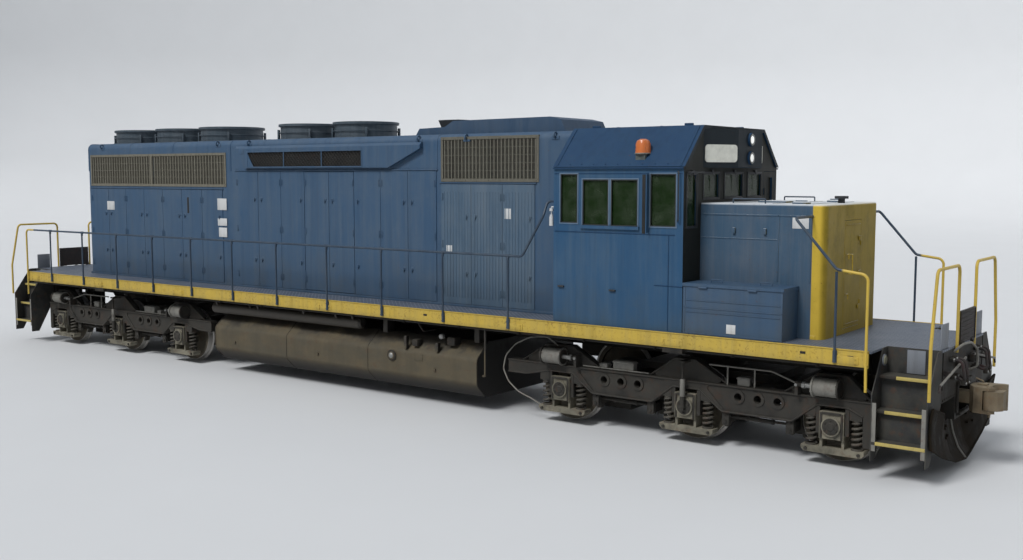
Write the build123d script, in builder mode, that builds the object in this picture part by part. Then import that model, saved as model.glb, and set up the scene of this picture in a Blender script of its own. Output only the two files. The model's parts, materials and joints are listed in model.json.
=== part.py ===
from build123d import *
import os

# A six-axle diesel-electric road switcher, millimetres.
# +X runs to the short hood at the front, +Y to the left, +Z up; the floor z = 0 is the wheels' lowest point.

os.makedirs("parts", exist_ok=True)

# Wheels and rail
FLANGE_DEPTH = 28
WHEEL_RADIUS = 508
WHEEL_BACK = 678
WHEEL_WIDTH = 140
AXLE_RADIUS = 90
JOURNAL_RADIUS = 85
AXLE_HALF = 1080
HUB_RADIUS = 150
RIM_INNER = 435
RAIL_TOP = FLANGE_DEPTH
AXLE_Z = RAIL_TOP + WHEEL_RADIUS
SEAT_GAP = 0.3
BORE_GAP = 0.1
CLEAR = 8

# Trucks
TRUCK_X = 6630
AXLE_SPACING = 2070
AXLE_OFFSETS = (AXLE_SPACING, 0, -AXLE_SPACING)

# Underframe
COUPLER_FACE = 10490
END_FACE = 9970
WELL_START = 9308
SIDE_HALF = 1550
SILL_PLATE = 12
SILL_LENGTH_HALF = 9280
SILL_BOTTOM_EDGE = RAIL_TOP + 1373
DECK_TOP = RAIL_TOP + 1570
DECK_PLATE = 25
DECK_UNDER = DECK_TOP - DECK_PLATE
CENTRE_SILL_HALF = 330
CENTRE_SILL_BOTTOM = RAIL_TOP + 1080
CENTRE_BEARING_RADIUS = 350
CENTRE_BEARING_DROP = 80
WELL_HALF = 950
COUPLER_Z = RAIL_TOP + 876

# Long hood
HOOD_REAR = -7850
HOOD_FRONT = 4670
RADIATOR_JOINT = -3150
EQUIPMENT_JOINT = 1980
HOOD_HALF = 914
HOOD_TOP = RAIL_TOP + 4330
HOOD_CORNER = 120
HOOD_WALL = 50

# Cab
CAB_REAR = HOOD_FRONT
CAB_FRONT = 6750
CAB_HALF = 1500
CAB_WALL = 60
CAB_FLOOR = RAIL_TOP + 2200
CAB_FLOOR_PLATE = 60
EAVE_Z = RAIL_TOP + 3790
ROOF_SHOULDER = 980
ROOF_TOP = RAIL_TOP + 4350
ROOF_PANEL = 50
ROOF_OVERHANG = 25
ROOF_EAVE_HALF = CAB_HALF + 22
GLASS = 12

# Short hood and battery boxes
NOSE_FRONT = 8500
NOSE_HALF = 1000
NOSE_TOP = RAIL_TOP + 3300
NOSE_WALL = 50
NOSE_CORNER = 120
BATTERY_FRONT = 8157
BATTERY_TOP = RAIL_TOP + 2250

# Fuel tank
TANK_REAR = -3170
TANK_FRONT = 3140
TANK_HALF = 1350
TANK_BOTTOM = RAIL_TOP + 200

# Handrails
RAIL_Z = RAIL_TOP + 2490
RAIL_RADIUS = 18
FOOT_WIDE = 50


def tube(points, radius, bend):
    """A round bar through the points, with its corners bent to one radius."""
    with BuildLine(mode=Mode.PRIVATE) as route:
        if len(points) == 2:
            Line(*points)
        else:
            FilletPolyline(*points, radius=bend)
    with BuildSketch(Plane(origin=route.line @ 0, z_dir=route.line % 0)) as section:
        Circle(radius)
    sweep(section.sketch, path=route.line)


def block(x_span, y_span, z_span, mode=Mode.ADD):
    """A box given by its two ends along each axis."""
    spans = (x_span, y_span, z_span)
    centre = tuple((low + high) / 2 for low, high in spans)
    with Locations(centre):
        Box(*(abs(high - low) for low, high in spans), mode=mode)


# Underframe: centre sill, bolsters, cross-bearers, end beams and draft pockets
POCKET_START = 9300
POCKET_HALF = 250
POCKET_BOTTOM = RAIL_TOP + 620
POCKET_PLATE = 30
COUPLER_PIN_X = 9450
COUPLER_PIN_RADIUS = 40
BOLSTER_HALF = 260
TRUCK_HEADROOM = RAIL_TOP + 1335
END_BEAM_HALF = 900
PAD_HALF = 150
PAD_INNER = 1300
PAD_Z = RAIL_TOP + 1300
CROSS_BEARERS = (1000, 3000, 4400, 8900)
CROSS_BEARER_PLATE = 30
PILOT_HALF = 945
PILOT_BOTTOM = RAIL_TOP + 920
PILOT_PLATE = 20
SILL_INNER = SIDE_HALF - SILL_PLATE

with BuildPart() as underframe:
    block((0, END_FACE), (-CENTRE_SILL_HALF, CENTRE_SILL_HALF), (CENTRE_SILL_BOTTOM, DECK_UNDER))
    for bearer_x in CROSS_BEARERS:
        with BuildSketch(Plane.YZ.offset(bearer_x - CROSS_BEARER_PLATE / 2)):
            Polygon(
                (-SILL_INNER, DECK_UNDER),
                (SILL_INNER, DECK_UNDER),
                (SILL_INNER, SILL_BOTTOM_EDGE),
                (CENTRE_SILL_HALF, CENTRE_SILL_BOTTOM),
                (-CENTRE_SILL_HALF, CENTRE_SILL_BOTTOM),
                (-SILL_INNER, SILL_BOTTOM_EDGE),
                align=None,
            )
        extrude(amount=CROSS_BEARER_PLATE)
    with BuildSketch(Plane.YZ.offset(TRUCK_X - BOLSTER_HALF)):
        Polygon(
            (-SILL_INNER, DECK_UNDER),
            (SILL_INNER, DECK_UNDER),
            (SILL_INNER, SILL_BOTTOM_EDGE),
            (800, TRUCK_HEADROOM),
            (480, CENTRE_SILL_BOTTOM),
            (-480, CENTRE_SILL_BOTTOM),
            (-800, TRUCK_HEADROOM),
            (-SILL_INNER, SILL_BOTTOM_EDGE),
            align=None,
        )
    extrude(amount=2 * BOLSTER_HALF)
    with BuildSketch(Plane.XY.offset(PAD_Z)):
        for side in (-1, 1):
            with Locations((TRUCK_X, side * (PAD_INNER + SILL_INNER) / 2)):
                Rectangle(2 * PAD_HALF, SILL_INNER - PAD_INNER)
    extrude(amount=SILL_BOTTOM_EDGE + 40 - PAD_Z)
    with BuildSketch(Plane.XY.offset(CENTRE_SILL_BOTTOM - CENTRE_BEARING_DROP)):
        with Locations((TRUCK_X, 0)):
            Circle(CENTRE_BEARING_RADIUS)
    extrude(amount=CENTRE_BEARING_DROP)
    pocket = (POCKET_START, END_FACE)
    block(pocket, (-END_BEAM_HALF, END_BEAM_HALF), (CENTRE_SILL_BOTTOM, DECK_UNDER))
    block((END_FACE - PILOT_PLATE, END_FACE), (-PILOT_HALF, PILOT_HALF), (PILOT_BOTTOM, CENTRE_SILL_BOTTOM))
    block(pocket, (-CENTRE_SILL_HALF, CENTRE_SILL_HALF), (POCKET_BOTTOM, CENTRE_SILL_BOTTOM))
    block(pocket, (-POCKET_HALF, POCKET_HALF), (POCKET_BOTTOM + POCKET_PLATE, CENTRE_SILL_BOTTOM), mode=Mode.SUBTRACT)
    with BuildSketch(Plane.XY.offset(POCKET_BOTTOM)):
        with Locations((COUPLER_PIN_X, 0)):
            Circle(COUPLER_PIN_RADIUS)
    extrude(amount=CENTRE_SILL_BOTTOM - POCKET_BOTTOM)
    mirror(about=Plane.YZ)
underframe.part.label = "underframe"
export_step(underframe.part, "parts/underframe.step")

# Deck plate with its four step wells cut out
with BuildPart() as deck_plate:
    block((-END_FACE, END_FACE), (-SILL_INNER, SILL_INNER), (DECK_UNDER, DECK_TOP))
    for end in (-1, 1):
        for side in (-1, 1):
            well_x = sorted((end * WELL_START, end * END_FACE))
            well_y = sorted((side * WELL_HALF, side * SILL_INNER))
            block(well_x, well_y, (DECK_UNDER, DECK_TOP), mode=Mode.SUBTRACT)
deck_plate.part.label = "deck_plate"
export_step(deck_plate.part, "parts/deck_plate.step")

# Side sill plates
with BuildPart() as side_sills:
    for side in (-1, 1):
        plate = sorted((side * SILL_INNER, side * SIDE_HALF))
        block((-SILL_LENGTH_HALF, SILL_LENGTH_HALF), plate, (SILL_BOTTOM_EDGE, DECK_TOP))
side_sills.part.label = "side_sills"
export_step(side_sills.part, "parts/side_sills.step")

# Fuel tank, hung under the centre sill
TANK_SHOULDER_HALF = 1060
TANK_SHOULDER_Z = RAIL_TOP + 830
TANK_BILGE_HALF = 1120
TANK_BILGE_Z = RAIL_TOP + 420
TANK_BEND = 110
FILLER_X = 1360
FILLER_Z = RAIL_TOP + 730
FILLER_RADIUS = 65
FILLER_REACH = 30

with BuildPart() as fuel_tank:
    with BuildSketch(Plane.YZ.offset(TANK_REAR)):
        with BuildLine():
            FilletPolyline(
                (-TANK_BILGE_HALF, TANK_BOTTOM),
                (TANK_BILGE_HALF, TANK_BOTTOM),
                (TANK_HALF, TANK_BILGE_Z),
                (TANK_HALF, TANK_SHOULDER_Z),
                (TANK_SHOULDER_HALF, CENTRE_SILL_BOTTOM),
                (-TANK_SHOULDER_HALF, CENTRE_SILL_BOTTOM),
                (-TANK_HALF, TANK_SHOULDER_Z),
                (-TANK_HALF, TANK_BILGE_Z),
                radius=TANK_BEND,
                close=True,
            )
        make_face()
    extrude(amount=TANK_FRONT - TANK_REAR)
    for side in (-1, 1):
        with BuildSketch(Plane.XZ.offset(-side * TANK_HALF)):
            with Locations((FILLER_X, FILLER_Z)):
                Circle(FILLER_RADIUS)
        extrude(amount=-side * FILLER_REACH)
fuel_tank.part.label = "fuel_tank"
export_step(fuel_tank.part, "parts/fuel_tank.step")

# Main air reservoirs above the tank shoulders, each on three hangers
RESERVOIR_REAR = -3220
RESERVOIR_FRONT = 660
RESERVOIR_RADIUS = 100
RESERVOIR_HALF = 1300
RESERVOIR_Z = RAIL_TOP + 1195
HANGERS = (-2600, -1500, 300)

with BuildPart() as air_reservoirs:
    for side in (-1, 1):
        with BuildSketch(Plane.YZ.offset(RESERVOIR_REAR)):
            with Locations((side * RESERVOIR_HALF, RESERVOIR_Z)):
                Circle(RESERVOIR_RADIUS)
        extrude(amount=RESERVOIR_FRONT - RESERVOIR_REAR)
        for hanger_x in HANGERS:
            block(
                (hanger_x - 30, hanger_x + 30),
                (side * RESERVOIR_HALF - 15, side * RESERVOIR_HALF + 15),
                (RESERVOIR_Z, DECK_UNDER),
            )
    chamfer(air_reservoirs.faces().filter_by(Axis.X).filter_by(GeomType.PLANE).edges().filter_by(GeomType.CIRCLE), 35)
air_reservoirs.part.label = "air_reservoirs"
export_step(air_reservoirs.part, "parts/air_reservoirs.step")

# Long hood shells, open below onto the deck, and hollow
DOOR_BOTTOM = RAIL_TOP + 1620
ENGINE_DOOR_TOP = RAIL_TOP + 3740
RADIATOR_DOOR_TOP = RAIL_TOP + 3390
LEAF_PITCH = 620
LEAF_GAP = 8
LEAF_PROUD = 12
ENGINE_DOORS_REAR = -2990
ENGINE_LEAVES = 8
OPEN_LEAVES = (3, 4)
RADIATOR_DOORS_REAR = -7740
RADIATOR_LEAVES = 7
# Grille: rear x, front x, bottom z, top z
RADIATOR_GRILLE = (-7740, -3280, RAIL_TOP + 3450, RAIL_TOP + 4100)
INTAKE_GRILLE = (2070, 4000, RAIL_TOP + 3570, RAIL_TOP + 4280)
GRILLE_RECESS = 30


def hood_shell(rear, front, rear_wall, grille):
    """One section of the long hood: rounded shoulders, walls and roof of one thickness."""
    for inset in (0, HOOD_WALL):
        rear_inset = inset if rear_wall else 0
        with BuildSketch(Plane.YZ.offset(rear + rear_inset)) as section:
            with BuildLine():
                half = HOOD_HALF - inset
                corner = HOOD_CORNER - inset
                FilletPolyline(
                    (-half, DECK_TOP),
                    (half, DECK_TOP),
                    (half, HOOD_TOP - inset),
                    (-half, HOOD_TOP - inset),
                    radius=(0, 0, corner, corner),
                    close=True,
                )
            make_face()
        extrude(section.sketch, amount=front - rear - rear_inset, mode=Mode.SUBTRACT if inset else Mode.ADD)
    if grille:
        for side in (-1, 1):
            recess = sorted((side * (HOOD_HALF - GRILLE_RECESS), side * HOOD_HALF))
            block(grille[:2], recess, grille[2:], mode=Mode.SUBTRACT)


with BuildPart() as radiator_hood:
    hood_shell(HOOD_REAR, RADIATOR_JOINT, True, RADIATOR_GRILLE)
    fillet(radiator_hood.edges().filter_by(Axis.Z).group_by(Axis.X)[0], 60)
radiator_hood.part.label = "radiator_hood"
export_step(radiator_hood.part, "parts/radiator_hood.step")

OPEN_REAR = ENGINE_DOORS_REAR + OPEN_LEAVES[0] * LEAF_PITCH
OPEN_FRONT = ENGINE_DOORS_REAR + (OPEN_LEAVES[-1] + 1) * LEAF_PITCH
with BuildPart() as engine_hood:
    hood_shell(RADIATOR_JOINT, EQUIPMENT_JOINT, False, None)
    block((OPEN_REAR, OPEN_FRONT), (-HOOD_HALF, HOOD_HALF), (DOOR_BOTTOM, ENGINE_DOOR_TOP), mode=Mode.SUBTRACT)
engine_hood.part.label = "engine_hood"
export_step(engine_hood.part, "parts/engine_hood.step")

with BuildPart() as equipment_hood:
    hood_shell(EQUIPMENT_JOINT, HOOD_FRONT, False, INTAKE_GRILLE)
equipment_hood.part.label = "equipment_hood"
export_step(equipment_hood.part, "parts/equipment_hood.step")

# Latched hood doors: rear x, leaf count, top z, leaves left out
EQUIPMENT_DOORS_REAR = 2070
EQUIPMENT_LEAVES = 3
EQUIPMENT_DOOR_TOP = RAIL_TOP + 3530
DOOR_ROWS = (
    (RADIATOR_DOORS_REAR, RADIATOR_LEAVES, RADIATOR_DOOR_TOP, ()),
    (ENGINE_DOORS_REAR, ENGINE_LEAVES, ENGINE_DOOR_TOP, OPEN_LEAVES),
    (EQUIPMENT_DOORS_REAR, EQUIPMENT_LEAVES, EQUIPMENT_DOOR_TOP, ()),
)
with BuildPart() as hood_doors:
    for side in (-1, 1):
        with BuildSketch(Plane.XZ.offset(-side * HOOD_HALF)):
            for row_rear, leaves, row_top, left_out in DOOR_ROWS:
                centres = [
                    (row_rear + (leaf + 0.5) * LEAF_PITCH, (DOOR_BOTTOM + row_top) / 2)
                    for leaf in range(leaves)
                    if leaf not in left_out
                ]
                with Locations(*centres):
                    Rectangle(LEAF_PITCH - LEAF_GAP, row_top - DOOR_BOTTOM)
        extrude(amount=-side * LEAF_PROUD)
hood_doors.part.label = "hood_doors"
export_step(hood_doors.part, "parts/hood_doors.step")

# Engine-room doors that open, two on each side, hinged at their outer edges
HINGE_BARREL = 8
HINGE_TALL = 100
HINGE_INSET = (250, 350)
for side_name, side in (("left", 1), ("right", -1)):
    for leaf_name, hinge_x, free_x in (
        ("rear", OPEN_REAR, (OPEN_REAR + OPEN_FRONT) / 2),
        ("front", OPEN_FRONT, (OPEN_REAR + OPEN_FRONT) / 2),
    ):
        toward = 1 if free_x > hinge_x else -1
        with BuildPart() as engine_door:
            block(
                sorted((hinge_x + toward * CLEAR, free_x - toward * CLEAR / 2)),
                sorted((side * (HOOD_HALF - HOOD_WALL / 2), side * (HOOD_HALF + LEAF_PROUD))),
                (DOOR_BOTTOM + CLEAR, ENGINE_DOOR_TOP - CLEAR),
            )
            for hinge_z in (DOOR_BOTTOM + HINGE_INSET[0], ENGINE_DOOR_TOP - HINGE_INSET[1]):
                with BuildSketch(Plane.XY.offset(hinge_z)):
                    with Locations((hinge_x + toward * CLEAR, side * (HOOD_HALF + LEAF_PROUD))):
                        Circle(HINGE_BARREL)
                extrude(amount=HINGE_TALL)
        door_name = f"engine_door_{side_name}_{leaf_name}"
        engine_door.part.label = door_name
        export_step(engine_door.part, f"parts/{door_name}.step")

# Side grilles: the radiator shutters and the intake, upright bars in a frame
GRILLE_FRAME = 45
BAR_THICK = 22
GRILLE_PROUD = 10
# Grille: box, division x or 0, bar pitch
GRILLE_SETS = ((RADIATOR_GRILLE, -5620, 85), (INTAKE_GRILLE, 0, 70))
with BuildPart() as side_grilles:
    for (rear_x, front_x, low_z, high_z), division, pitch in GRILLE_SETS:
        width = front_x - rear_x
        tall = high_z - low_z
        middle = ((rear_x + front_x) / 2, (low_z + high_z) / 2)
        bars = int((width - 2 * GRILLE_FRAME) / pitch)
        inner_face = Plane.XZ.offset(GRILLE_RECESS - HOOD_HALF)
        with BuildSketch(inner_face):
            with Locations(middle):
                Rectangle(width, tall)
                Rectangle(width - 2 * GRILLE_FRAME, tall - 2 * GRILLE_FRAME, mode=Mode.SUBTRACT)
            if division:
                with Locations((division, middle[1])):
                    Rectangle(GRILLE_FRAME, tall)
        extrude(amount=-GRILLE_RECESS - GRILLE_PROUD)
        with BuildSketch(inner_face):
            with Locations(middle):
                with GridLocations(width / (bars + 1), tall, bars, 1):
                    Rectangle(BAR_THICK, tall - GRILLE_FRAME)
        extrude(amount=-GRILLE_RECESS)
    mirror(about=Plane.XZ)
side_grilles.part.label = "side_grilles"
export_step(side_grilles.part, "parts/side_grilles.step")

# Dynamic-brake blisters high on each side of the engine room
BLISTER = 80
BLISTER_LOW = RAIL_TOP + 3800
BLISTER_MIDDLE = RAIL_TOP + 4110
BLISTER_HIGH = HOOD_TOP - HOOD_CORNER
# Outline: rear top, rear foot, front foot and front top x
BLISTER_X = (-2930, -2670, 970, 1680)
BLISTER_CHAMFER = 45
# Intake in each blister: rear, front, bottom and top
BRAKE_INTAKE = (-2560, 360, RAIL_TOP + 3830, RAIL_TOP + 4090)
INTAKE_DEPTH = 45
with BuildPart() as brake_hatch:
    for side in (-1, 1):
        with BuildSketch(Plane.XZ.offset(-side * HOOD_HALF)):
            Polygon(
                (BLISTER_X[0], BLISTER_HIGH),
                (BLISTER_X[1], BLISTER_LOW),
                (BLISTER_X[2], BLISTER_LOW),
                (BLISTER_X[3], BLISTER_MIDDLE),
                (BLISTER_X[3], BLISTER_HIGH),
                align=None,
            )
        extrude(amount=-side * BLISTER)
    for outer_face in (0, -1):
        outer_edges = brake_hatch.faces().filter_by(Axis.Y).group_by(Axis.Y)[outer_face].edges()
        chamfer(outer_edges.filter_by(Axis.X).group_by(Axis.Z)[-1], BLISTER_CHAMFER)
    for side in (-1, 1):
        block(
            BRAKE_INTAKE[:2],
            sorted((side * (HOOD_HALF + BLISTER - INTAKE_DEPTH), side * (HOOD_HALF + BLISTER))),
            BRAKE_INTAKE[2:],
            mode=Mode.SUBTRACT,
        )
brake_hatch.part.label = "brake_hatch"
export_step(brake_hatch.part, "parts/brake_hatch.step")

# Roof hatch hump over the air filters
HATCH_HALF = 600
# Side outline: x, height over the hood
HATCH_OUTLINE = ((1250, 0), (1330, 115), (1880, 130), (2060, 225), (3980, 235), (4180, 190), (4270, 0))
with BuildPart() as roof_hatch:
    with BuildSketch(Plane.XZ.offset(-HATCH_HALF)):
        Polygon(*((x, HOOD_TOP + height) for x, height in HATCH_OUTLINE), align=None)
    extrude(amount=2 * HATCH_HALF)
roof_hatch.part.label = "roof_hatch"
export_step(roof_hatch.part, "parts/roof_hatch.step")

# Roof fans: name, x, housing radius
FANS = (
    ("fan_radiator_rear", -7050, 610),
    ("fan_radiator_middle", -5620, 610),
    ("fan_radiator_front", -4200, 610),
    ("fan_brake_rear", -1920, 560),
    ("fan_brake_front", -480, 560),
)
SHROUD_TALL = 290
SHROUD_WALL = 24
ARM_WIDE = 60
GUARD_BAR = 14
FAN_HUB = 150
FAN_HUB_TALL = 110
FAN_SEAT = 45
BLADES = 8
BLADE_TIP_GAP = 18

with BuildPart() as fan_shrouds:
    with BuildSketch(Plane.XY.offset(HOOD_TOP)):
        for _, fan_x, radius in FANS:
            with Locations((fan_x, 0)):
                Circle(radius)
                Circle(radius - SHROUD_WALL, mode=Mode.SUBTRACT)
    extrude(amount=SHROUD_TALL)
    with BuildSketch(Plane.XY.offset(HOOD_TOP)):
        for _, fan_x, radius in FANS:
            with Locations((fan_x, 0)):
                Rectangle(2 * radius - SHROUD_WALL, ARM_WIDE)
                Rectangle(ARM_WIDE, 2 * radius - SHROUD_WALL)
                Circle(FAN_HUB * 0.7)
    extrude(amount=FAN_SEAT)
    with BuildSketch(Plane.XY.offset(HOOD_TOP + SHROUD_TALL - GUARD_BAR)):
        for _, fan_x, radius in FANS:
            with Locations((fan_x, 0)):
                with PolarLocations(0, 4, angular_range=180):
                    Rectangle(2 * radius - SHROUD_WALL, GUARD_BAR)
                Circle(FAN_HUB)
    extrude(amount=GUARD_BAR)
fan_shrouds.part.label = "fan_shrouds"
export_step(fan_shrouds.part, "parts/fan_shrouds.step")

for fan_name, fan_x, radius in FANS:
    fan_low = HOOD_TOP + FAN_SEAT + SEAT_GAP
    with BuildPart() as fan:
        with BuildSketch(Plane.XY.offset(fan_low)):
            with Locations((fan_x, 0)):
                Circle(FAN_HUB)
        extrude(amount=FAN_HUB_TALL)
        blade_reach = radius - SHROUD_WALL - BLADE_TIP_GAP
        for blade in range(BLADES):
            turn = 360 * blade / BLADES
            centre = Vector(fan_x, 0, fan_low + FAN_HUB_TALL / 2)
            radial = Vector(1, 0, 0).rotate(Axis.Z, turn)
            with Locations(Plane(origin=centre + radial * blade_reach / 2, x_dir=radial)):
                with Locations(Rotation(28, 0, 0)):
                    Box(blade_reach, 150, 8)
    fan.part.label = fan_name
    export_step(fan.part, f"parts/{fan_name}.step")

# Engine and main generator as one plain block on the deck
ENGINE_REAR = -2700
ENGINE_FRONT = 2600
GENERATOR_FRONT = 4100
GENERATOR_HALF = 560
GENERATOR_TALL = 1150
# Half section: distance from the middle, height over the deck
ENGINE_SECTION = ((420, 0), (420, 900), (720, 1250), (560, 1750))
with BuildPart() as engine_block:
    with BuildSketch(Plane.YZ.offset(ENGINE_REAR)):
        right_half = [(-y, DECK_TOP + height) for y, height in ENGINE_SECTION]
        left_half = [(y, DECK_TOP + height) for y, height in reversed(ENGINE_SECTION)]
        Polygon(*right_half, *left_half, align=None)
    extrude(amount=ENGINE_FRONT - ENGINE_REAR)
    block(
        (ENGINE_FRONT, GENERATOR_FRONT),
        (-GENERATOR_HALF, GENERATOR_HALF),
        (DECK_TOP, DECK_TOP + GENERATOR_TALL),
    )
engine_block.part.label = "engine_block"
export_step(engine_block.part, "parts/engine_block.step")

# Cab shell: walls on a raised base, with windows and two end doors cut
ROOF_SLOPE = (
    (CAB_HALF - CAB_WALL, EAVE_Z),
    (ROOF_SHOULDER - 25, ROOF_TOP - ROOF_PANEL),
)
# Side windows: rear x, front x, bottom z, top z
SIDE_WINDOWS = (
    (4790, 5080, RAIL_TOP + 3000, RAIL_TOP + 3690),
    (5165, 5590, RAIL_TOP + 2975, RAIL_TOP + 3615),
    (5630, 6055, RAIL_TOP + 2975, RAIL_TOP + 3615),
    (6250, 6640, RAIL_TOP + 2985, RAIL_TOP + 3690),
)
# Front windows: right y, left y, bottom z, top z
FRONT_WINDOWS = (
    (-930, -470, RAIL_TOP + 3360, RAIL_TOP + 3700),
    (-290, 290, RAIL_TOP + 3360, RAIL_TOP + 3700),
    (470, 930, RAIL_TOP + 3360, RAIL_TOP + 3700),
    (-1410, -1130, RAIL_TOP + 2985, RAIL_TOP + 3690),
)
REAR_WINDOWS = ((1010, 1390, RAIL_TOP + 2985, RAIL_TOP + 3690),)
DOOR_SILL = CAB_FLOOR + 60
CAB_DOOR_TOP = RAIL_TOP + 3730
# Door ways: hinge y, free y
REAR_DOORWAY = (-962, -1438)
FRONT_DOORWAY = (1034, 1438)
# Wind deflector and armrest of the sliding window
DEFLECTOR_X = 6225
DEFLECTOR_OUT = 82
DEFLECTOR_Z = (RAIL_TOP + 2900, RAIL_TOP + 3690)
ARMREST_REACH = 30
ARMREST_TALL = 45

with BuildPart() as cab_shell:
    with BuildSketch(Plane.YZ.offset(CAB_REAR)):
        Polygon(
            (-CAB_HALF, DECK_TOP),
            (CAB_HALF, DECK_TOP),
            (CAB_HALF, EAVE_Z),
            ROOF_SLOPE[0],
            ROOF_SLOPE[1],
            (-ROOF_SLOPE[1][0], ROOF_SLOPE[1][1]),
            (-ROOF_SLOPE[0][0], ROOF_SLOPE[0][1]),
            (-CAB_HALF, EAVE_Z),
            align=None,
        )
    extrude(amount=CAB_FRONT - CAB_REAR)
    cab_inside = (CAB_REAR + CAB_WALL, CAB_FRONT - CAB_WALL)
    side_inside = (-CAB_HALF + CAB_WALL, CAB_HALF - CAB_WALL)
    block(cab_inside, side_inside, (CAB_FLOOR, EAVE_Z), mode=Mode.SUBTRACT)
    block(cab_inside, side_inside, (DECK_TOP, CAB_FLOOR - CAB_FLOOR_PLATE), mode=Mode.SUBTRACT)
    with BuildSketch(Plane.YZ.offset(cab_inside[0])):
        Polygon(
            ROOF_SLOPE[0],
            ROOF_SLOPE[1],
            (-ROOF_SLOPE[1][0], ROOF_SLOPE[1][1]),
            (-ROOF_SLOPE[0][0], ROOF_SLOPE[0][1]),
            align=None,
        )
    extrude(amount=cab_inside[1] - cab_inside[0], mode=Mode.SUBTRACT)
    for rear_x, front_x, low_z, high_z in SIDE_WINDOWS:
        block((rear_x, front_x), (-CAB_HALF, CAB_HALF), (low_z, high_z), mode=Mode.SUBTRACT)
    for right_y, left_y, low_z, high_z in FRONT_WINDOWS:
        block((CAB_FRONT - CAB_WALL, CAB_FRONT), (right_y, left_y), (low_z, high_z), mode=Mode.SUBTRACT)
    for right_y, left_y, low_z, high_z in REAR_WINDOWS:
        block((CAB_REAR, CAB_REAR + CAB_WALL), (right_y, left_y), (low_z, high_z), mode=Mode.SUBTRACT)
    for side in (-1, 1):
        block(
            (DEFLECTOR_X, DEFLECTOR_X + GLASS),
            sorted((side * CAB_HALF, side * (CAB_HALF + DEFLECTOR_OUT))),
            DEFLECTOR_Z,
        )
        block(
            (SIDE_WINDOWS[1][0] - ARMREST_REACH, SIDE_WINDOWS[2][1] + ARMREST_REACH),
            sorted((side * CAB_HALF, side * (CAB_HALF + ARMREST_REACH))),
            (SIDE_WINDOWS[1][2] - ARMREST_TALL, SIDE_WINDOWS[1][2]),
        )
    block((CAB_REAR, CAB_REAR + CAB_WALL), REAR_DOORWAY[::-1], (DOOR_SILL, CAB_DOOR_TOP), mode=Mode.SUBTRACT)
    block((CAB_FRONT - CAB_WALL, CAB_FRONT), FRONT_DOORWAY, (DOOR_SILL, CAB_DOOR_TOP), mode=Mode.SUBTRACT)
cab_shell.part.label = "cab_shell"
export_step(cab_shell.part, "parts/cab_shell.step")

with BuildPart() as cab_roof:
    with BuildSketch(Plane.YZ.offset(CAB_REAR)):
        Polygon(
            (ROOF_EAVE_HALF, EAVE_Z),
            (ROOF_SHOULDER, ROOF_TOP),
            (-ROOF_SHOULDER, ROOF_TOP),
            (-ROOF_EAVE_HALF, EAVE_Z),
            (-ROOF_SLOPE[0][0], ROOF_SLOPE[0][1]),
            (-ROOF_SLOPE[1][0], ROOF_SLOPE[1][1]),
            ROOF_SLOPE[1],
            ROOF_SLOPE[0],
            align=None,
        )
    extrude(amount=CAB_FRONT - CAB_REAR + ROOF_OVERHANG)
cab_roof.part.label = "cab_roof"
export_step(cab_roof.part, "parts/cab_roof.step")

with BuildPart() as cab_glass:
    for rear_x, front_x, low_z, high_z in SIDE_WINDOWS:
        for side in (-1, 1):
            pane_y = side * (CAB_HALF - CAB_WALL / 2)
            block((rear_x, front_x), (pane_y - GLASS / 2, pane_y + GLASS / 2), (low_z, high_z))
    for wall_x, windows in ((CAB_FRONT - CAB_WALL / 2, FRONT_WINDOWS), (CAB_REAR + CAB_WALL / 2, REAR_WINDOWS)):
        for right_y, left_y, low_z, high_z in windows:
            block((wall_x - GLASS / 2, wall_x + GLASS / 2), (right_y, left_y), (low_z, high_z))
cab_glass.part.label = "cab_glass"
export_step(cab_glass.part, "parts/cab_glass.step")

# Cab doors with a tall window: name, hinge y, free y, outside x, outward direction
DOOR_THICK = 45
CAB_DOORS = (
    ("cab_door_rear_right", REAR_DOORWAY, CAB_REAR, 1),
    ("cab_door_front_left", FRONT_DOORWAY, CAB_FRONT, -1),
)
for door_name, (hinge_y, free_y), outside_x, inward in CAB_DOORS:
    toward = 1 if free_y > hinge_y else -1
    span_y = sorted((hinge_y + toward * 4, free_y - toward * CLEAR))
    with BuildPart() as cab_door:
        block(sorted((outside_x, outside_x + inward * DOOR_THICK)), span_y, (DOOR_SILL + 5, CAB_DOOR_TOP - 5))
        block(
            sorted((outside_x, outside_x + inward * (DOOR_THICK - GLASS))),
            (span_y[0] + 85, span_y[1] - 85),
            (RAIL_TOP + 2985, RAIL_TOP + 3640),
            mode=Mode.SUBTRACT,
        )
        for hinge_z in (DOOR_SILL + HINGE_INSET[0], CAB_DOOR_TOP - HINGE_INSET[1]):
            with BuildSketch(Plane.XY.offset(hinge_z)):
                with Locations((outside_x - inward * 5, hinge_y + toward * 12)):
                    Circle(HINGE_BARREL)
            extrude(amount=HINGE_TALL)
    cab_door.part.label = door_name
    export_step(cab_door.part, f"parts/{door_name}.step")

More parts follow.
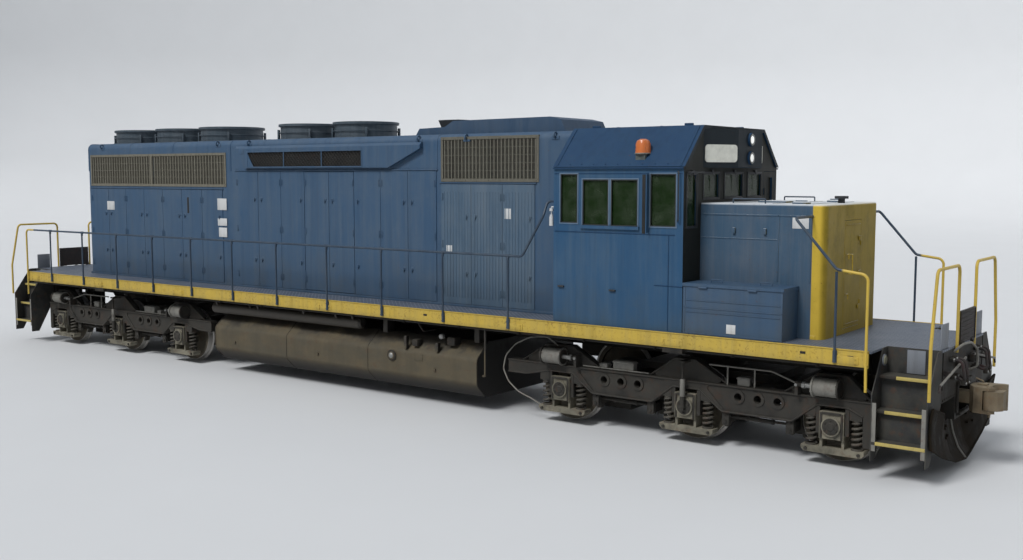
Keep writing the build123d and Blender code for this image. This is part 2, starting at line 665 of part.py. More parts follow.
# Cab fittings: electrical cabinet, control stand and two seats
CABINET = (300, 880, 1900)
STAND_X = (5750, 6200)
STAND_Y = (-900, -500)
STAND_TALL = 1050
SEAT_X = 5520
SEAT_Y = 1130
SEAT_HALF = 210
SEAT_LOW = 420
SEAT_PAD = 100
SEAT_BACK = 630
PEDESTAL_HALF = 40
with BuildPart() as cab_fittings:
    block(
        (cab_inside[0], cab_inside[0] + CABINET[0]),
        (-CABINET[1], CABINET[1]),
        (CAB_FLOOR, CAB_FLOOR + CABINET[2]),
    )
    block(STAND_X, STAND_Y, (CAB_FLOOR, CAB_FLOOR + STAND_TALL))
    for side in (-1, 1):
        seat_side = (side * SEAT_Y - SEAT_HALF, side * SEAT_Y + SEAT_HALF)
        pad_z = CAB_FLOOR + SEAT_LOW
        block(
            (SEAT_X - PEDESTAL_HALF, SEAT_X + PEDESTAL_HALF),
            (side * SEAT_Y - PEDESTAL_HALF, side * SEAT_Y + PEDESTAL_HALF),
            (CAB_FLOOR, pad_z),
        )
        block((SEAT_X - SEAT_HALF, SEAT_X + SEAT_HALF), seat_side, (pad_z, pad_z + SEAT_PAD))
        block((SEAT_X - SEAT_HALF - SEAT_PAD, SEAT_X - SEAT_HALF), seat_side, (pad_z, pad_z + SEAT_BACK))
cab_fittings.part.label = "cab_fittings"
export_step(cab_fittings.part, "parts/cab_fittings.step")

# Short hood, hollow, with a front door
NOSE_DOORWAY = (-310, 310)
NOSE_DOOR_TOP = RAIL_TOP + 3080
NOSE_DOOR_BOTTOM = DECK_TOP + 70
with BuildPart() as nose_hood:
    block((CAB_FRONT, NOSE_FRONT), (-NOSE_HALF, NOSE_HALF), (DECK_TOP, NOSE_TOP))
    fillet(nose_hood.edges().filter_by(Axis.Z).group_by(Axis.X)[-1], NOSE_CORNER)
    fillet(nose_hood.faces().sort_by(Axis.Z)[-1].edges().filter_by(lambda e: e.center().X > CAB_FRONT + 1), 35)
    block(
        (CAB_FRONT, NOSE_FRONT - NOSE_WALL),
        (-NOSE_HALF + NOSE_WALL, NOSE_HALF - NOSE_WALL),
        (DECK_TOP, NOSE_TOP - NOSE_WALL),
        mode=Mode.SUBTRACT,
    )
    block((NOSE_FRONT - NOSE_WALL, NOSE_FRONT), NOSE_DOORWAY, (NOSE_DOOR_BOTTOM, NOSE_DOOR_TOP), mode=Mode.SUBTRACT)
nose_hood.part.label = "nose_hood"
export_step(nose_hood.part, "parts/nose_hood.step")

with BuildPart() as nose_door:
    block(
        (NOSE_FRONT - 40, NOSE_FRONT),
        (NOSE_DOORWAY[0] + CLEAR, NOSE_DOORWAY[1] - 4),
        (NOSE_DOOR_BOTTOM + 5, NOSE_DOOR_TOP - 5),
    )
    for hinge_z in (NOSE_DOOR_BOTTOM + HINGE_INSET[0], NOSE_DOOR_TOP - HINGE_INSET[1]):
        with BuildSketch(Plane.XY.offset(hinge_z)):
            with Locations((NOSE_FRONT + 5, NOSE_DOORWAY[1] - 12)):
                Circle(HINGE_BARREL)
        extrude(amount=HINGE_TALL)
nose_door.part.label = "nose_door"
export_step(nose_door.part, "parts/nose_door.step")

# Battery boxes beside the short hood, each with a lid
BATTERY_LID = 40
LID_OVERHANG = 15
with BuildPart() as battery_boxes:
    for side in (-1, 1):
        block(
            (CAB_FRONT, BATTERY_FRONT),
            sorted((side * NOSE_HALF, side * (CAB_HALF - LID_OVERHANG))),
            (DECK_TOP, BATTERY_TOP - BATTERY_LID),
        )
        block(
            (CAB_FRONT, BATTERY_FRONT + LID_OVERHANG),
            sorted((side * NOSE_HALF, side * CAB_HALF)),
            (BATTERY_TOP - BATTERY_LID, BATTERY_TOP),
        )
battery_boxes.part.label = "battery_boxes"
export_step(battery_boxes.part, "parts/battery_boxes.step")

# Headlight and number-board housing over the front windows
HOUSING_BOTTOM = RAIL_TOP + 3780
HOUSING_TOP = RAIL_TOP + 4300
HOUSING_FRONT = 7000
HOUSING_INNER = 390
HOUSING_OUTER = 950
HEADLIGHTS = (RAIL_TOP + 3915, RAIL_TOP + 4170)
LAMP_RADIUS = 82
BOARD = (560, 240)
BOARD_Z = RAIL_TOP + 3970
REAR_BOARD_Y = 560


def board_plane(side):
    """The slanting face of the housing that carries one number board."""
    centre = ((HOUSING_FRONT + CAB_FRONT) / 2, side * (HOUSING_OUTER + HOUSING_INNER) / 2, BOARD_Z)
    along = Vector(CAB_FRONT - HOUSING_FRONT, side * (HOUSING_OUTER - HOUSING_INNER), 0)
    outward = Vector(HOUSING_OUTER - HOUSING_INNER, side * (HOUSING_FRONT - CAB_FRONT), 0)
    return Plane(origin=centre, x_dir=along, z_dir=outward)


with BuildPart() as lamp_housing:
    with BuildSketch(Plane.XY.offset(HOUSING_BOTTOM)):
        Polygon(
            (CAB_FRONT, -HOUSING_OUTER),
            (HOUSING_FRONT, -HOUSING_INNER),
            (HOUSING_FRONT, HOUSING_INNER),
            (CAB_FRONT, HOUSING_OUTER),
            align=None,
        )
    extrude(amount=HOUSING_TOP - HOUSING_BOTTOM)
    for lamp_z in HEADLIGHTS:
        with BuildSketch(Plane.YZ.offset(HOUSING_FRONT)):
            with Locations((0, lamp_z)):
                Circle(LAMP_RADIUS + 15)
        extrude(amount=35)
        with BuildSketch(Plane.YZ.offset(HOUSING_FRONT + 10)):
            with Locations((0, lamp_z)):
                Circle(LAMP_RADIUS)
        extrude(amount=25, mode=Mode.SUBTRACT)
        with BuildSketch(Plane.YZ.offset(HOOD_REAR)):
            with Locations((0, lamp_z)):
                Circle(LAMP_RADIUS + 15)
        extrude(amount=-35)
        with BuildSketch(Plane.YZ.offset(HOOD_REAR - 10)):
            with Locations((0, lamp_z)):
                Circle(LAMP_RADIUS)
        extrude(amount=-25, mode=Mode.SUBTRACT)
lamp_housing.part.label = "lamp_housing"
export_step(lamp_housing.part, "parts/lamp_housing.step")

with BuildPart() as lamps:
    for lamp_z in HEADLIGHTS:
        with BuildSketch(Plane.YZ.offset(HOUSING_FRONT + 10)):
            with Locations((0, lamp_z)):
                Circle(LAMP_RADIUS - 2)
        extrude(amount=18)
        with BuildSketch(Plane.YZ.offset(HOOD_REAR - 10)):
            with Locations((0, lamp_z)):
                Circle(LAMP_RADIUS - 2)
        extrude(amount=-18)
    for side in (-1, 1):
        with BuildSketch(board_plane(side)):
            RectangleRounded(BOARD[0], BOARD[1], 50)
        extrude(amount=10)
        with BuildSketch(Plane.YZ.offset(HOOD_REAR)):
            with Locations((side * REAR_BOARD_Y, BOARD_Z)):
                RectangleRounded(BOARD[0], BOARD[1], 50)
        extrude(amount=-10)
lamps.part.label = "lamps"
export_step(lamps.part, "parts/lamps.step")

# Roof fittings: exhaust stack, horn, beacon and nose vent
EXHAUST_X = 1600
STACK_Z = (HOOD_TOP + 130, HOOD_TOP + 270)
STACK_FOOT = (420, 300, 90)
STACK_MOUTH = (520, 400, 120)
HORN_X = 5300
HORN_Y = 1250
# Horn bell: y, length
HORNS = ((-90, 300), (0, 380), (90, 250))
HORN_THROAT = 22
HORN_BELL = 60
NOSE_VENT_X = 8330
NOSE_VENT = (45, 60, 90, 35)
BEACON = (6050, 1360)
BEACON_BASE = 75
BEACON_RADIUS = 62
BEACON_TALL = 110


def roof_surface(distance):
    """Height of the cab roof's slope at a distance from the middle."""
    return EAVE_Z + (ROOF_EAVE_HALF - distance) * (ROOF_TOP - EAVE_Z) / (ROOF_EAVE_HALF - ROOF_SHOULDER)


with BuildPart() as roof_fittings:
    for stack_z, (stack_x, stack_y, corner) in zip(STACK_Z, (STACK_FOOT, STACK_MOUTH)):
        with BuildSketch(Plane.XY.offset(stack_z)):
            with Locations((EXHAUST_X, 0)):
                RectangleRounded(stack_x, stack_y, corner)
    loft()
    horn_z = roof_surface(HORN_Y - 150) + HORN_BELL + 20
    with BuildSketch(Plane.YZ.offset(HORN_X - 30)):
        Polygon(
            (HORN_Y - 30, roof_surface(HORN_Y - 30)),
            (HORN_Y + 30, roof_surface(HORN_Y + 30)),
            (HORN_Y + 30, horn_z),
            (HORN_Y - 30, horn_z),
            align=None,
        )
    extrude(amount=60)
    for horn_y, horn_length in HORNS:
        with BuildSketch(Plane.YZ.offset(HORN_X)):
            with Locations((HORN_Y + horn_y, horn_z)):
                Circle(HORN_THROAT)
        with BuildSketch(Plane.YZ.offset(HORN_X + horn_length)):
            with Locations((HORN_Y + horn_y, horn_z)):
                Circle(HORN_BELL)
        loft()
    block((HORN_X - 20, HORN_X + 20), (HORN_Y - 110, HORN_Y + 120), (horn_z - 20, horn_z + 25))
    beacon_top = roof_surface(BEACON[1] - BEACON_BASE) + 20
    with BuildSketch(Plane.YZ.offset(BEACON[0] - BEACON_BASE)):
        Polygon(
            (BEACON_BASE - BEACON[1], roof_surface(BEACON[1] - BEACON_BASE)),
            (BEACON_BASE - BEACON[1], beacon_top),
            (-BEACON_BASE - BEACON[1], beacon_top),
            (-BEACON_BASE - BEACON[1], roof_surface(BEACON[1] + BEACON_BASE)),
            align=None,
        )
    extrude(amount=2 * BEACON_BASE)
    with BuildSketch(Plane.XY.offset(beacon_top)):
        with Locations((BEACON[0], -BEACON[1])):
            Circle(BEACON_RADIUS)
    extrude(amount=BEACON_TALL)
    fillet(roof_fittings.faces().filter_by(lambda f: abs(f.center().Z - beacon_top - BEACON_TALL) < 1).edges(), 30)
    with BuildSketch(Plane.XY.offset(NOSE_TOP)):
        with Locations((NOSE_VENT_X, 0)):
            Circle(NOSE_VENT[0])
    extrude(amount=NOSE_VENT[1])
    with BuildSketch(Plane.XY.offset(NOSE_TOP + NOSE_VENT[1])):
        with Locations((NOSE_VENT_X, 0)):
            Circle(NOSE_VENT[2])
    extrude(amount=NOSE_VENT[3])
roof_fittings.part.label = "roof_fittings"
export_step(roof_fittings.part, "parts/roof_fittings.step")

# Handrails: top rails, end rails with their corner posts, and the grab irons up the rear of the hood
RAIL_HALF = SIDE_HALF + 22
FOOT_Z = (SILL_BOTTOM_EDGE + 30, DECK_TOP - 20)
POST_X = END_FACE + 20
POST_HALF = 1340
POST_FOOT_HALF = 1520
POST_BEND_Z = RAIL_TOP + 1680
POST_LOW = RAIL_TOP + 1040
END_RAIL_Z = RAIL_TOP + 2570
SIDE_POST_X = 9255
INNER_POST = 400
BEND = 90
SMALL_BEND = 60
CAB_RAIL = (4160, 4540, RAIL_TOP + 3090, RAIL_TOP + 3300)
CAB_RAIL_HALF = CAB_HALF - 40
NOSE_RAIL_X = 8330
NOSE_RAIL_Z = RAIL_TOP + 3150
FRONT_STANCHION_X = 8870
FRONT_RISE = 50
RUNG_RADIUS = 12
RUNG_Y = (330, 730)
RUNG_OUT = 85
RUNG_LOW = DECK_TOP + 420
RUNG_PITCH = 420
RUNGS = 5
with BuildPart() as handrails:
    tube(
        [
            (-SIDE_POST_X, RAIL_HALF, FOOT_Z[0]),
            (-SIDE_POST_X, RAIL_HALF, RAIL_Z),
            (CAB_RAIL[0], RAIL_HALF, RAIL_Z),
            (CAB_RAIL[1], RAIL_HALF, CAB_RAIL[2]),
            (CAB_RAIL[1], CAB_RAIL_HALF, CAB_RAIL[3]),
            (CAB_REAR, CAB_RAIL_HALF, CAB_RAIL[3]),
        ],
        RAIL_RADIUS,
        [BEND, BEND, BEND, SMALL_BEND],
    )
    tube(
        [
            (SIDE_POST_X, RAIL_HALF, FOOT_Z[0]),
            (SIDE_POST_X, RAIL_HALF, RAIL_Z),
            (FRONT_STANCHION_X, RAIL_HALF, RAIL_Z + FRONT_RISE),
            (NOSE_RAIL_X, RAIL_HALF, NOSE_RAIL_Z),
            (NOSE_RAIL_X, NOSE_HALF, NOSE_RAIL_Z),
        ],
        RAIL_RADIUS,
        [BEND, BEND, SMALL_BEND],
    )
    for end in (-1, 1):
        tube(
            [
                (end * POST_X, POST_FOOT_HALF, POST_LOW),
                (end * POST_X, POST_FOOT_HALF, POST_BEND_Z),
                (end * POST_X, POST_HALF, END_RAIL_Z),
                (end * POST_X, INNER_POST, END_RAIL_Z),
                (end * POST_X, INNER_POST, DECK_UNDER - SMALL_BEND),
            ],
            RAIL_RADIUS + 2,
            [SMALL_BEND, BEND, BEND],
        )
    with BuildSketch(Plane.XY.offset(FOOT_Z[0])):
        with Locations(*((x, (SIDE_HALF + RAIL_HALF) / 2) for x in (-SIDE_POST_X, SIDE_POST_X))):
            Rectangle(FOOT_WIDE, RAIL_HALF - SIDE_HALF)
    extrude(amount=FOOT_Z[1] - FOOT_Z[0])
    mirror(about=Plane.XZ)
    for rung in range(RUNGS):
        rung_z = RUNG_LOW + rung * RUNG_PITCH
        tube(
            [
                (HOOD_REAR, RUNG_Y[0], rung_z),
                (HOOD_REAR - RUNG_OUT, RUNG_Y[0], rung_z),
                (HOOD_REAR - RUNG_OUT, RUNG_Y[1], rung_z),
                (HOOD_REAR, RUNG_Y[1], rung_z),
            ],
            RUNG_RADIUS,
            [3 * RUNG_RADIUS, 3 * RUNG_RADIUS],
        )
handrails.part.label = "handrails"
export_step(handrails.part, "parts/handrails.step")

# Stanchions: a round post on a flat foot, its head under the top rail
STANCHIONS = (-8320, -7130, -5940, -4750, -3560, -2370, -1180, 80, 1340, 2640, 3900)
STANCHION_RADIUS = 16
SLOPE_ROOM = 8
with BuildPart() as stanchions:
    front_head = RAIL_Z + FRONT_RISE - SLOPE_ROOM
    for post_x, rail_z in [(x, RAIL_Z) for x in STANCHIONS] + [(FRONT_STANCHION_X, front_head)]:
        with BuildSketch(Plane.XY.offset(FOOT_Z[0])):
            with Locations((post_x, (SIDE_HALF + RAIL_HALF) / 2)):
                Rectangle(FOOT_WIDE, RAIL_HALF - SIDE_HALF)
        extrude(amount=FOOT_Z[1] - FOOT_Z[0])
        with BuildSketch(Plane.XY.offset(FOOT_Z[0])):
            with Locations((post_x, RAIL_HALF)):
                Circle(STANCHION_RADIUS)
        extrude(amount=rail_z - RAIL_RADIUS - SEAT_GAP - FOOT_Z[0])
    mirror(about=Plane.XZ)
stanchions.part.label = "stanchions"
export_step(stanchions.part, "parts/stanchions.step")

# Step wells: two side sheets, three treads and their risers at each corner
SHEET = 12
# Tread: outer y, inner y, top z
TREADS = ((1490, 1290, RAIL_TOP + 470), (1370, 1150, RAIL_TOP + 840), (1250, WELL_HALF, RAIL_TOP + 1250))
TREAD_PLATE = 30
SHEET_BOTTOM = RAIL_TOP + 230
SHEET_OUTER = 1500
with BuildPart() as step_wells:
    with BuildSketch(Plane.YZ.offset(WELL_START)):
        Polygon(
            (WELL_HALF, DECK_TOP),
            (1130, DECK_TOP),
            (SHEET_OUTER, RAIL_TOP + 1050),
            (SHEET_OUTER, SHEET_BOTTOM),
            (1330, SHEET_BOTTOM),
            (WELL_HALF, RAIL_TOP + 900),
            align=None,
        )
    extrude(amount=END_FACE - WELL_START)
    well = (WELL_START + SHEET, END_FACE - SHEET)
    block(well, (0, SIDE_HALF), (0, DECK_TOP), mode=Mode.SUBTRACT)
    for outer_y, inner_y, tread_z in TREADS:
        block(well, (inner_y, outer_y), (tread_z - TREAD_PLATE, tread_z))
    for (_, inner_y, low_z), (_, _, high_z) in zip(TREADS, TREADS[1:]):
        block(well, (inner_y, inner_y + SHEET), (low_z - TREAD_PLATE, high_z))
    block(well, (WELL_HALF, WELL_HALF + SHEET), (TREADS[-1][2], DECK_TOP))
    mirror(about=Plane.XZ)
    mirror(about=Plane.YZ)
step_wells.part.label = "step_wells"
export_step(step_wells.part, "parts/step_wells.step")

# Snow plough on the front: two curved wings that meet in a ridge, on two hanger plates
# Section: y, then the front curve as x and z above the rail
PLOUGH_SECTIONS = (
    (0, ((9830, 590), (9868, 390), (9940, 200), (10050, 60))),
    (360, ((9852, 590), (9884, 400), (9938, 215), (10020, 85))),
    (900, ((10004, 800), (9994, 640), (9996, 460), (10018, 240))),
    (1440, ((10024, 950), (10002, 800), (9997, 620), (10014, 450))),
)
PLOUGH_PLATE = 22
with BuildPart() as snow_plough:
    for side in (-1, 1):
        for (near_y, near_curve), (far_y, far_curve) in zip(PLOUGH_SECTIONS, PLOUGH_SECTIONS[1:]):
            for section_y, curve in ((near_y, near_curve), (far_y, far_curve)):
                with BuildSketch(Plane.XZ.offset(-side * section_y)):
                    front = [(x, RAIL_TOP + height) for x, height in curve]
                    back = [(x - PLOUGH_PLATE, z) for x, z in reversed(front)]
                    Polygon(*front, *back, align=None)
            loft(ruled=True)
        with BuildSketch(Plane.XZ.offset(-side * 440)):
            Polygon(
                (9600, CENTRE_SILL_BOTTOM),
                (9600, RAIL_TOP + 420),
                (9880, RAIL_TOP + 300),
                (9848, RAIL_TOP + 430),
                (9820, RAIL_TOP + 600),
                (9820, CENTRE_SILL_BOTTOM),
                align=None,
            )
        extrude(amount=-side * 25)
snow_plough.part.label = "snow_plough"
export_step(snow_plough.part, "parts/snow_plough.step")

# Hoses looped between their pipe ends, uncoupling levers and folded drop steps, at both ends
HOSE_RADIUS = 18
HOSES = (500, 640)
HOSE_SHIFT = 90
HOSE_TOP = DECK_UNDER - 120
LEVER_RADIUS = 13
LEVER_X = POST_X + 55
LEVER_GRIP = (1330, RAIL_TOP + 1130)
LEVER_ARM = (1290, RAIL_TOP + 1200)
LEVER_END = (180, RAIL_TOP + 1400)
LEVER_BRACKET = (850, RAIL_TOP + 1280)
DROP_STEP_HALF = INNER_POST - 40
DROP_STEP_Z = (DECK_TOP + 12, DECK_TOP + 420)
DROP_STEP_X = (END_FACE + 8, END_FACE + 34)
with BuildPart() as end_gear:
    for end in (-1, 1):
        for side in (-1, 1):
            for hose_y in HOSES:
                low_y = side * (hose_y - HOSE_SHIFT)
                tube(
                    [
                        (end * END_FACE, side * hose_y, HOSE_TOP),
                        (end * (END_FACE + 150), side * hose_y, HOSE_TOP),
                        (end * (END_FACE + 190), (side * hose_y + low_y) / 2, HOSE_TOP - 290),
                        (end * (END_FACE + 90), low_y, HOSE_TOP - 230),
                        (end * END_FACE, low_y, HOSE_TOP - 230),
                    ],
                    HOSE_RADIUS,
                    [70, 50, 40],
                )
            tube([(end * LEVER_X, side * y, z) for y, z in (LEVER_GRIP, LEVER_ARM, LEVER_END)], LEVER_RADIUS, [25])
            bracket_y, bracket_z = LEVER_BRACKET
            block(
                sorted((end * END_FACE, end * LEVER_X)),
                sorted((side * (bracket_y - 15), side * (bracket_y + 15))),
                (bracket_z - 30, bracket_z + 30),
            )
        block(
            sorted((end * DROP_STEP_X[0], end * DROP_STEP_X[1])),
            (-DROP_STEP_HALF, DROP_STEP_HALF),
            DROP_STEP_Z,
        )
        for side in (-1, 1):
            block(
                sorted((end * END_FACE, end * DROP_STEP_X[0])),
                sorted((side * (DROP_STEP_HALF - 60), side * DROP_STEP_HALF)),
                (DECK_UNDER - 10, DROP_STEP_Z[0] + 60),
            )
            block(
                sorted((end * (DROP_STEP_X[0]), end * DROP_STEP_X[1])),
                sorted((side * (DROP_STEP_HALF - 60), side * DROP_STEP_HALF)),
                (DECK_UNDER - 10, DROP_STEP_Z[0]),
            )
end_gear.part.label = "end_gear"
export_step(end_gear.part, "parts/end_gear.step")

# Couplers: a shank on its pin, a head with a guard arm, and a knuckle between two lugs
SHANK_HALF = 80
SHANK_Z = (COUPLER_Z - 75, COUPLER_Z + 75)
EYE_RADIUS = 95
HEAD_Z = (COUPLER_Z - 165, COUPLER_Z + 165)
LUG = 40
KNUCKLE_PIN = (10330, -140)
KNUCKLE_PIN_RADIUS = 22
KNUCKLE_RADIUS = 70
KNUCKLE_ROOM = 92
HEAD_OUTLINE = (
    (10080, -80),
    (10150, -185),
    (10270, -205),
    (10330, -215),
    (10400, -150),
    (10330, -60),
    (10330, 60),
    (10380, 120),
    (10470, 175),
    (COUPLER_FACE - 15, 215),
    (10420, 235),
    (10270, 205),
    (10150, 175),
    (10080, 80),
)
KNUCKLE_OUTLINE = (
    (10330, -210),
    (10440, -195),
    (COUPLER_FACE, -120),
    (COUPLER_FACE, 40),
    (10445, 60),
    (10405, 35),
    (10405, -40),
    (10345, -72),
)
for end_name, end in (("front", 1), ("rear", -1)):
    turn = Plane.XY if end == 1 else Plane.XY.rotated((0, 0, 180))
    with BuildPart() as coupler:
        with BuildSketch(turn.offset(SHANK_Z[0])):
            with Locations((COUPLER_PIN_X, 0)):
                Circle(EYE_RADIUS)
            with Locations(((COUPLER_PIN_X + 10120) / 2, 0)):
                Rectangle(10120 - COUPLER_PIN_X, 2 * SHANK_HALF)
            with Locations((COUPLER_PIN_X, 0)):
                Circle(COUPLER_PIN_RADIUS + BORE_GAP, mode=Mode.SUBTRACT)
        extrude(amount=SHANK_Z[1] - SHANK_Z[0])
        with BuildSketch(turn.offset(HEAD_Z[0])):
            Polygon(*HEAD_OUTLINE, align=None)
        extrude(amount=HEAD_Z[1] - HEAD_Z[0])
        with BuildSketch(turn.offset(HEAD_Z[0] + LUG)):
            with Locations(KNUCKLE_PIN):
                Circle(KNUCKLE_ROOM)
            Polygon((10330, -60), (10420, -60), (10420, -230), (10300, -230), align=None)
        extrude(amount=HEAD_Z[1] - HEAD_Z[0] - 2 * LUG, mode=Mode.SUBTRACT)
        with BuildSketch(turn.offset(HEAD_Z[0])):
            with Locations(KNUCKLE_PIN):
                Circle(KNUCKLE_PIN_RADIUS)
        extrude(amount=HEAD_Z[1] - HEAD_Z[0])
    coupler.part.label = f"coupler_{end_name}"
    export_step(coupler.part, f"parts/coupler_{end_name}.step")

    with BuildPart() as knuckle:
        with BuildSketch(turn.offset(HEAD_Z[0] + LUG + 5)):
            Polygon(*KNUCKLE_OUTLINE, align=None)
            with Locations(KNUCKLE_PIN):
                Circle(KNUCKLE_RADIUS)
                Circle(KNUCKLE_PIN_RADIUS + BORE_GAP, mode=Mode.SUBTRACT)
        extrude(amount=HEAD_Z[1] - HEAD_Z[0] - 2 * LUG - 10)
    knuckle.part.label = f"knuckle_{end_name}"
    export_step(knuckle.part, f"parts/knuckle_{end_name}.step")

# Wheelsets: one axle with its two wheels, turned in one piece
# Right half of the turned outline: distance from the middle, radius
TREAD_OUTER = WHEEL_BACK + WHEEL_WIDTH
WHEEL_OUTLINE = (
    (0, AXLE_RADIUS),
    (WHEEL_BACK - 22, AXLE_RADIUS),
    (WHEEL_BACK - 22, HUB_RADIUS),
    (WHEEL_BACK + 27, HUB_RADIUS + 15),
    (WHEEL_BACK + 52, RIM_INNER),
    (WHEEL_BACK, RIM_INNER),
    (WHEEL_BACK, WHEEL_RADIUS + 10),
    (WHEEL_BACK + 12, WHEEL_RADIUS + FLANGE_DEPTH),
    (WHEEL_BACK + 26, WHEEL_RADIUS + FLANGE_DEPTH),
    (WHEEL_BACK + 40, WHEEL_RADIUS),
    (TREAD_OUTER, WHEEL_RADIUS - 4),
    (TREAD_OUTER, RIM_INNER),
    (WHEEL_BACK + 82, RIM_INNER),
    (WHEEL_BACK + 72, HUB_RADIUS + 15),
    (TREAD_OUTER + 30, HUB_RADIUS),
    (TREAD_OUTER + 30, JOURNAL_RADIUS),
    (AXLE_HALF, JOURNAL_RADIUS),
)
WHEELSETS = tuple(
    (f"wheelset_{number}", end * TRUCK_X + offset)
    for number, (end, offset) in enumerate(
        ((end, offset) for end in (1, -1) for offset in AXLE_OFFSETS), start=1
    )
)
for wheelset_name, axle_x in WHEELSETS:
    with BuildPart() as wheelset:
        with BuildSketch(Plane.YZ.offset(axle_x)):
            outline = [(y, AXLE_Z + r) for y, r in WHEEL_OUTLINE]
            outline = [(-y, z) for y, z in reversed(outline)] + outline[1:]
            Polygon((-AXLE_HALF, AXLE_Z), *outline, (AXLE_HALF, AXLE_Z), align=None)
        revolve(axis=Axis((axle_x, 0, AXLE_Z), (0, 1, 0)))
    wheelset.part.label = wheelset_name
    export_step(wheelset.part, f"parts/{wheelset_name}.step")

# Truck frames: cast side frames, a box beam with a web over each axle, joined by transoms and a centre bolster
FRAME_INNER = 950
FRAME_OUTER = 1120
WEB_OUTER = 1070
OUTER_END = 2560
INNER_END = 3050
TRANSOM_X = 1035
TRANSOM_HALF = 110
TRANSOM_Z = (RAIL_TOP + 600, RAIL_TOP + 860)
BOLSTER_TOP = RAIL_TOP + 960
BOLSTER_WIDE = 540
BEAM_TOP = RAIL_TOP + 870
BEAM_BOTTOM = RAIL_TOP + 490
ARCH_TOP = RAIL_TOP + 750
ARCH_HALF = 540
ARCH_TOP_HALF = 200
ARM_BOTTOM = RAIL_TOP + 660
LEG_WIDE = 100
LEG_BOTTOM = RAIL_TOP + 280
HUMP_TOP = RAIL_TOP + 1165
PEDESTAL_Z = RAIL_TOP + 400
PEDESTAL = (165, 215)
CAST_RADIUS = 40
POCKET_RIM = 32
POCKET_DEPTH = 15
BOSS_RADIUS = 95
# Web over each axle: inner foot, inner top, outer top and outer foot, from the truck's middle outwards
HUMPS = ((-2800, -2350, -1900, -1410), (-590, -200, 120, 600), (1410, 1850, 2250, 2540))
LIGHTENING_HOLES = (-1330, -1050, -770, 770, 1050, 1330)
LIGHTENING_RADIUS = 55
HOLE_Z = RAIL_TOP + 722
# Outline of one side's beam, from its inner end along the arches to the leg at its outer end
beam_line = [
    (-INNER_END, BEAM_TOP),
    (-INNER_END, ARM_BOTTOM),
    (-AXLE_SPACING - ARCH_HALF - 100, ARM_BOTTOM),
    (-AXLE_SPACING - ARCH_TOP_HALF, ARCH_TOP),
    (-AXLE_SPACING + ARCH_TOP_HALF, ARCH_TOP),
    (-AXLE_SPACING + ARCH_HALF, BEAM_BOTTOM),
    (-ARCH_HALF, BEAM_BOTTOM),
    (-ARCH_TOP_HALF, ARCH_TOP),
    (ARCH_TOP_HALF, ARCH_TOP),
    (ARCH_HALF, BEAM_BOTTOM),
    (AXLE_SPACING - ARCH_HALF, BEAM_BOTTOM),
    (AXLE_SPACING - ARCH_TOP_HALF, ARCH_TOP),
    (AXLE_SPACING + ARCH_TOP_HALF, ARCH_TOP),
    (OUTER_END - LEG_WIDE, ARM_BOTTOM),
    (OUTER_END - LEG_WIDE, LEG_BOTTOM),
    (OUTER_END, LEG_BOTTOM),
    (OUTER_END, BEAM_TOP),
]
BOX_HALF = 160
BOX_Z = (RAIL_TOP + 340, RAIL_TOP + 690)
BOX_OUTER = 1150
WING_HALF = 410
WING_Z = (RAIL_TOP + 140, RAIL_TOP + 225)
SLOT_WALL = 35
SPRING_OFFSET = 300
SPRING_RADIUS = 80
SPRING_TOP = RAIL_TOP + 612
COVER_RADIUS = 125
COVER_REACH = 35
CYLINDER_RADIUS = 115
CYLINDER_Y = WEB_OUTER + 115
CYLINDER_Z = RAIL_TOP + 1005
# Brake cylinders: outward ends of the lever, rod and barrel, from the truck's middle outwards
CYLINDERS = ((1600, 1640, 1850, 2180), (-1750, -1790, -2000, -2330))
SHOE_REACH = 50
SHOE_GAP = 10
SHOE_TALL = 320
SHOE_Z = AXLE_Z - 120
SHOE_HEAD_Z = (RAIL_TOP + 330, RAIL_TOP + 460)
ROD_Z = RAIL_TOP + 420
ROD_RADIUS = 18
# Brake shoes: wheel, and the side of it that the shoe bears on
SHOES = ((AXLE_SPACING, -1), (0, 1), (0, -1), (-AXLE_SPACING, 1))
DAMPER_Y = 1225
DAMPER_Z = (AXLE_Z - 40, AXLE_Z - 10, RAIL_TOP + 880, RAIL_TOP + 1120, RAIL_TOP + 1150)

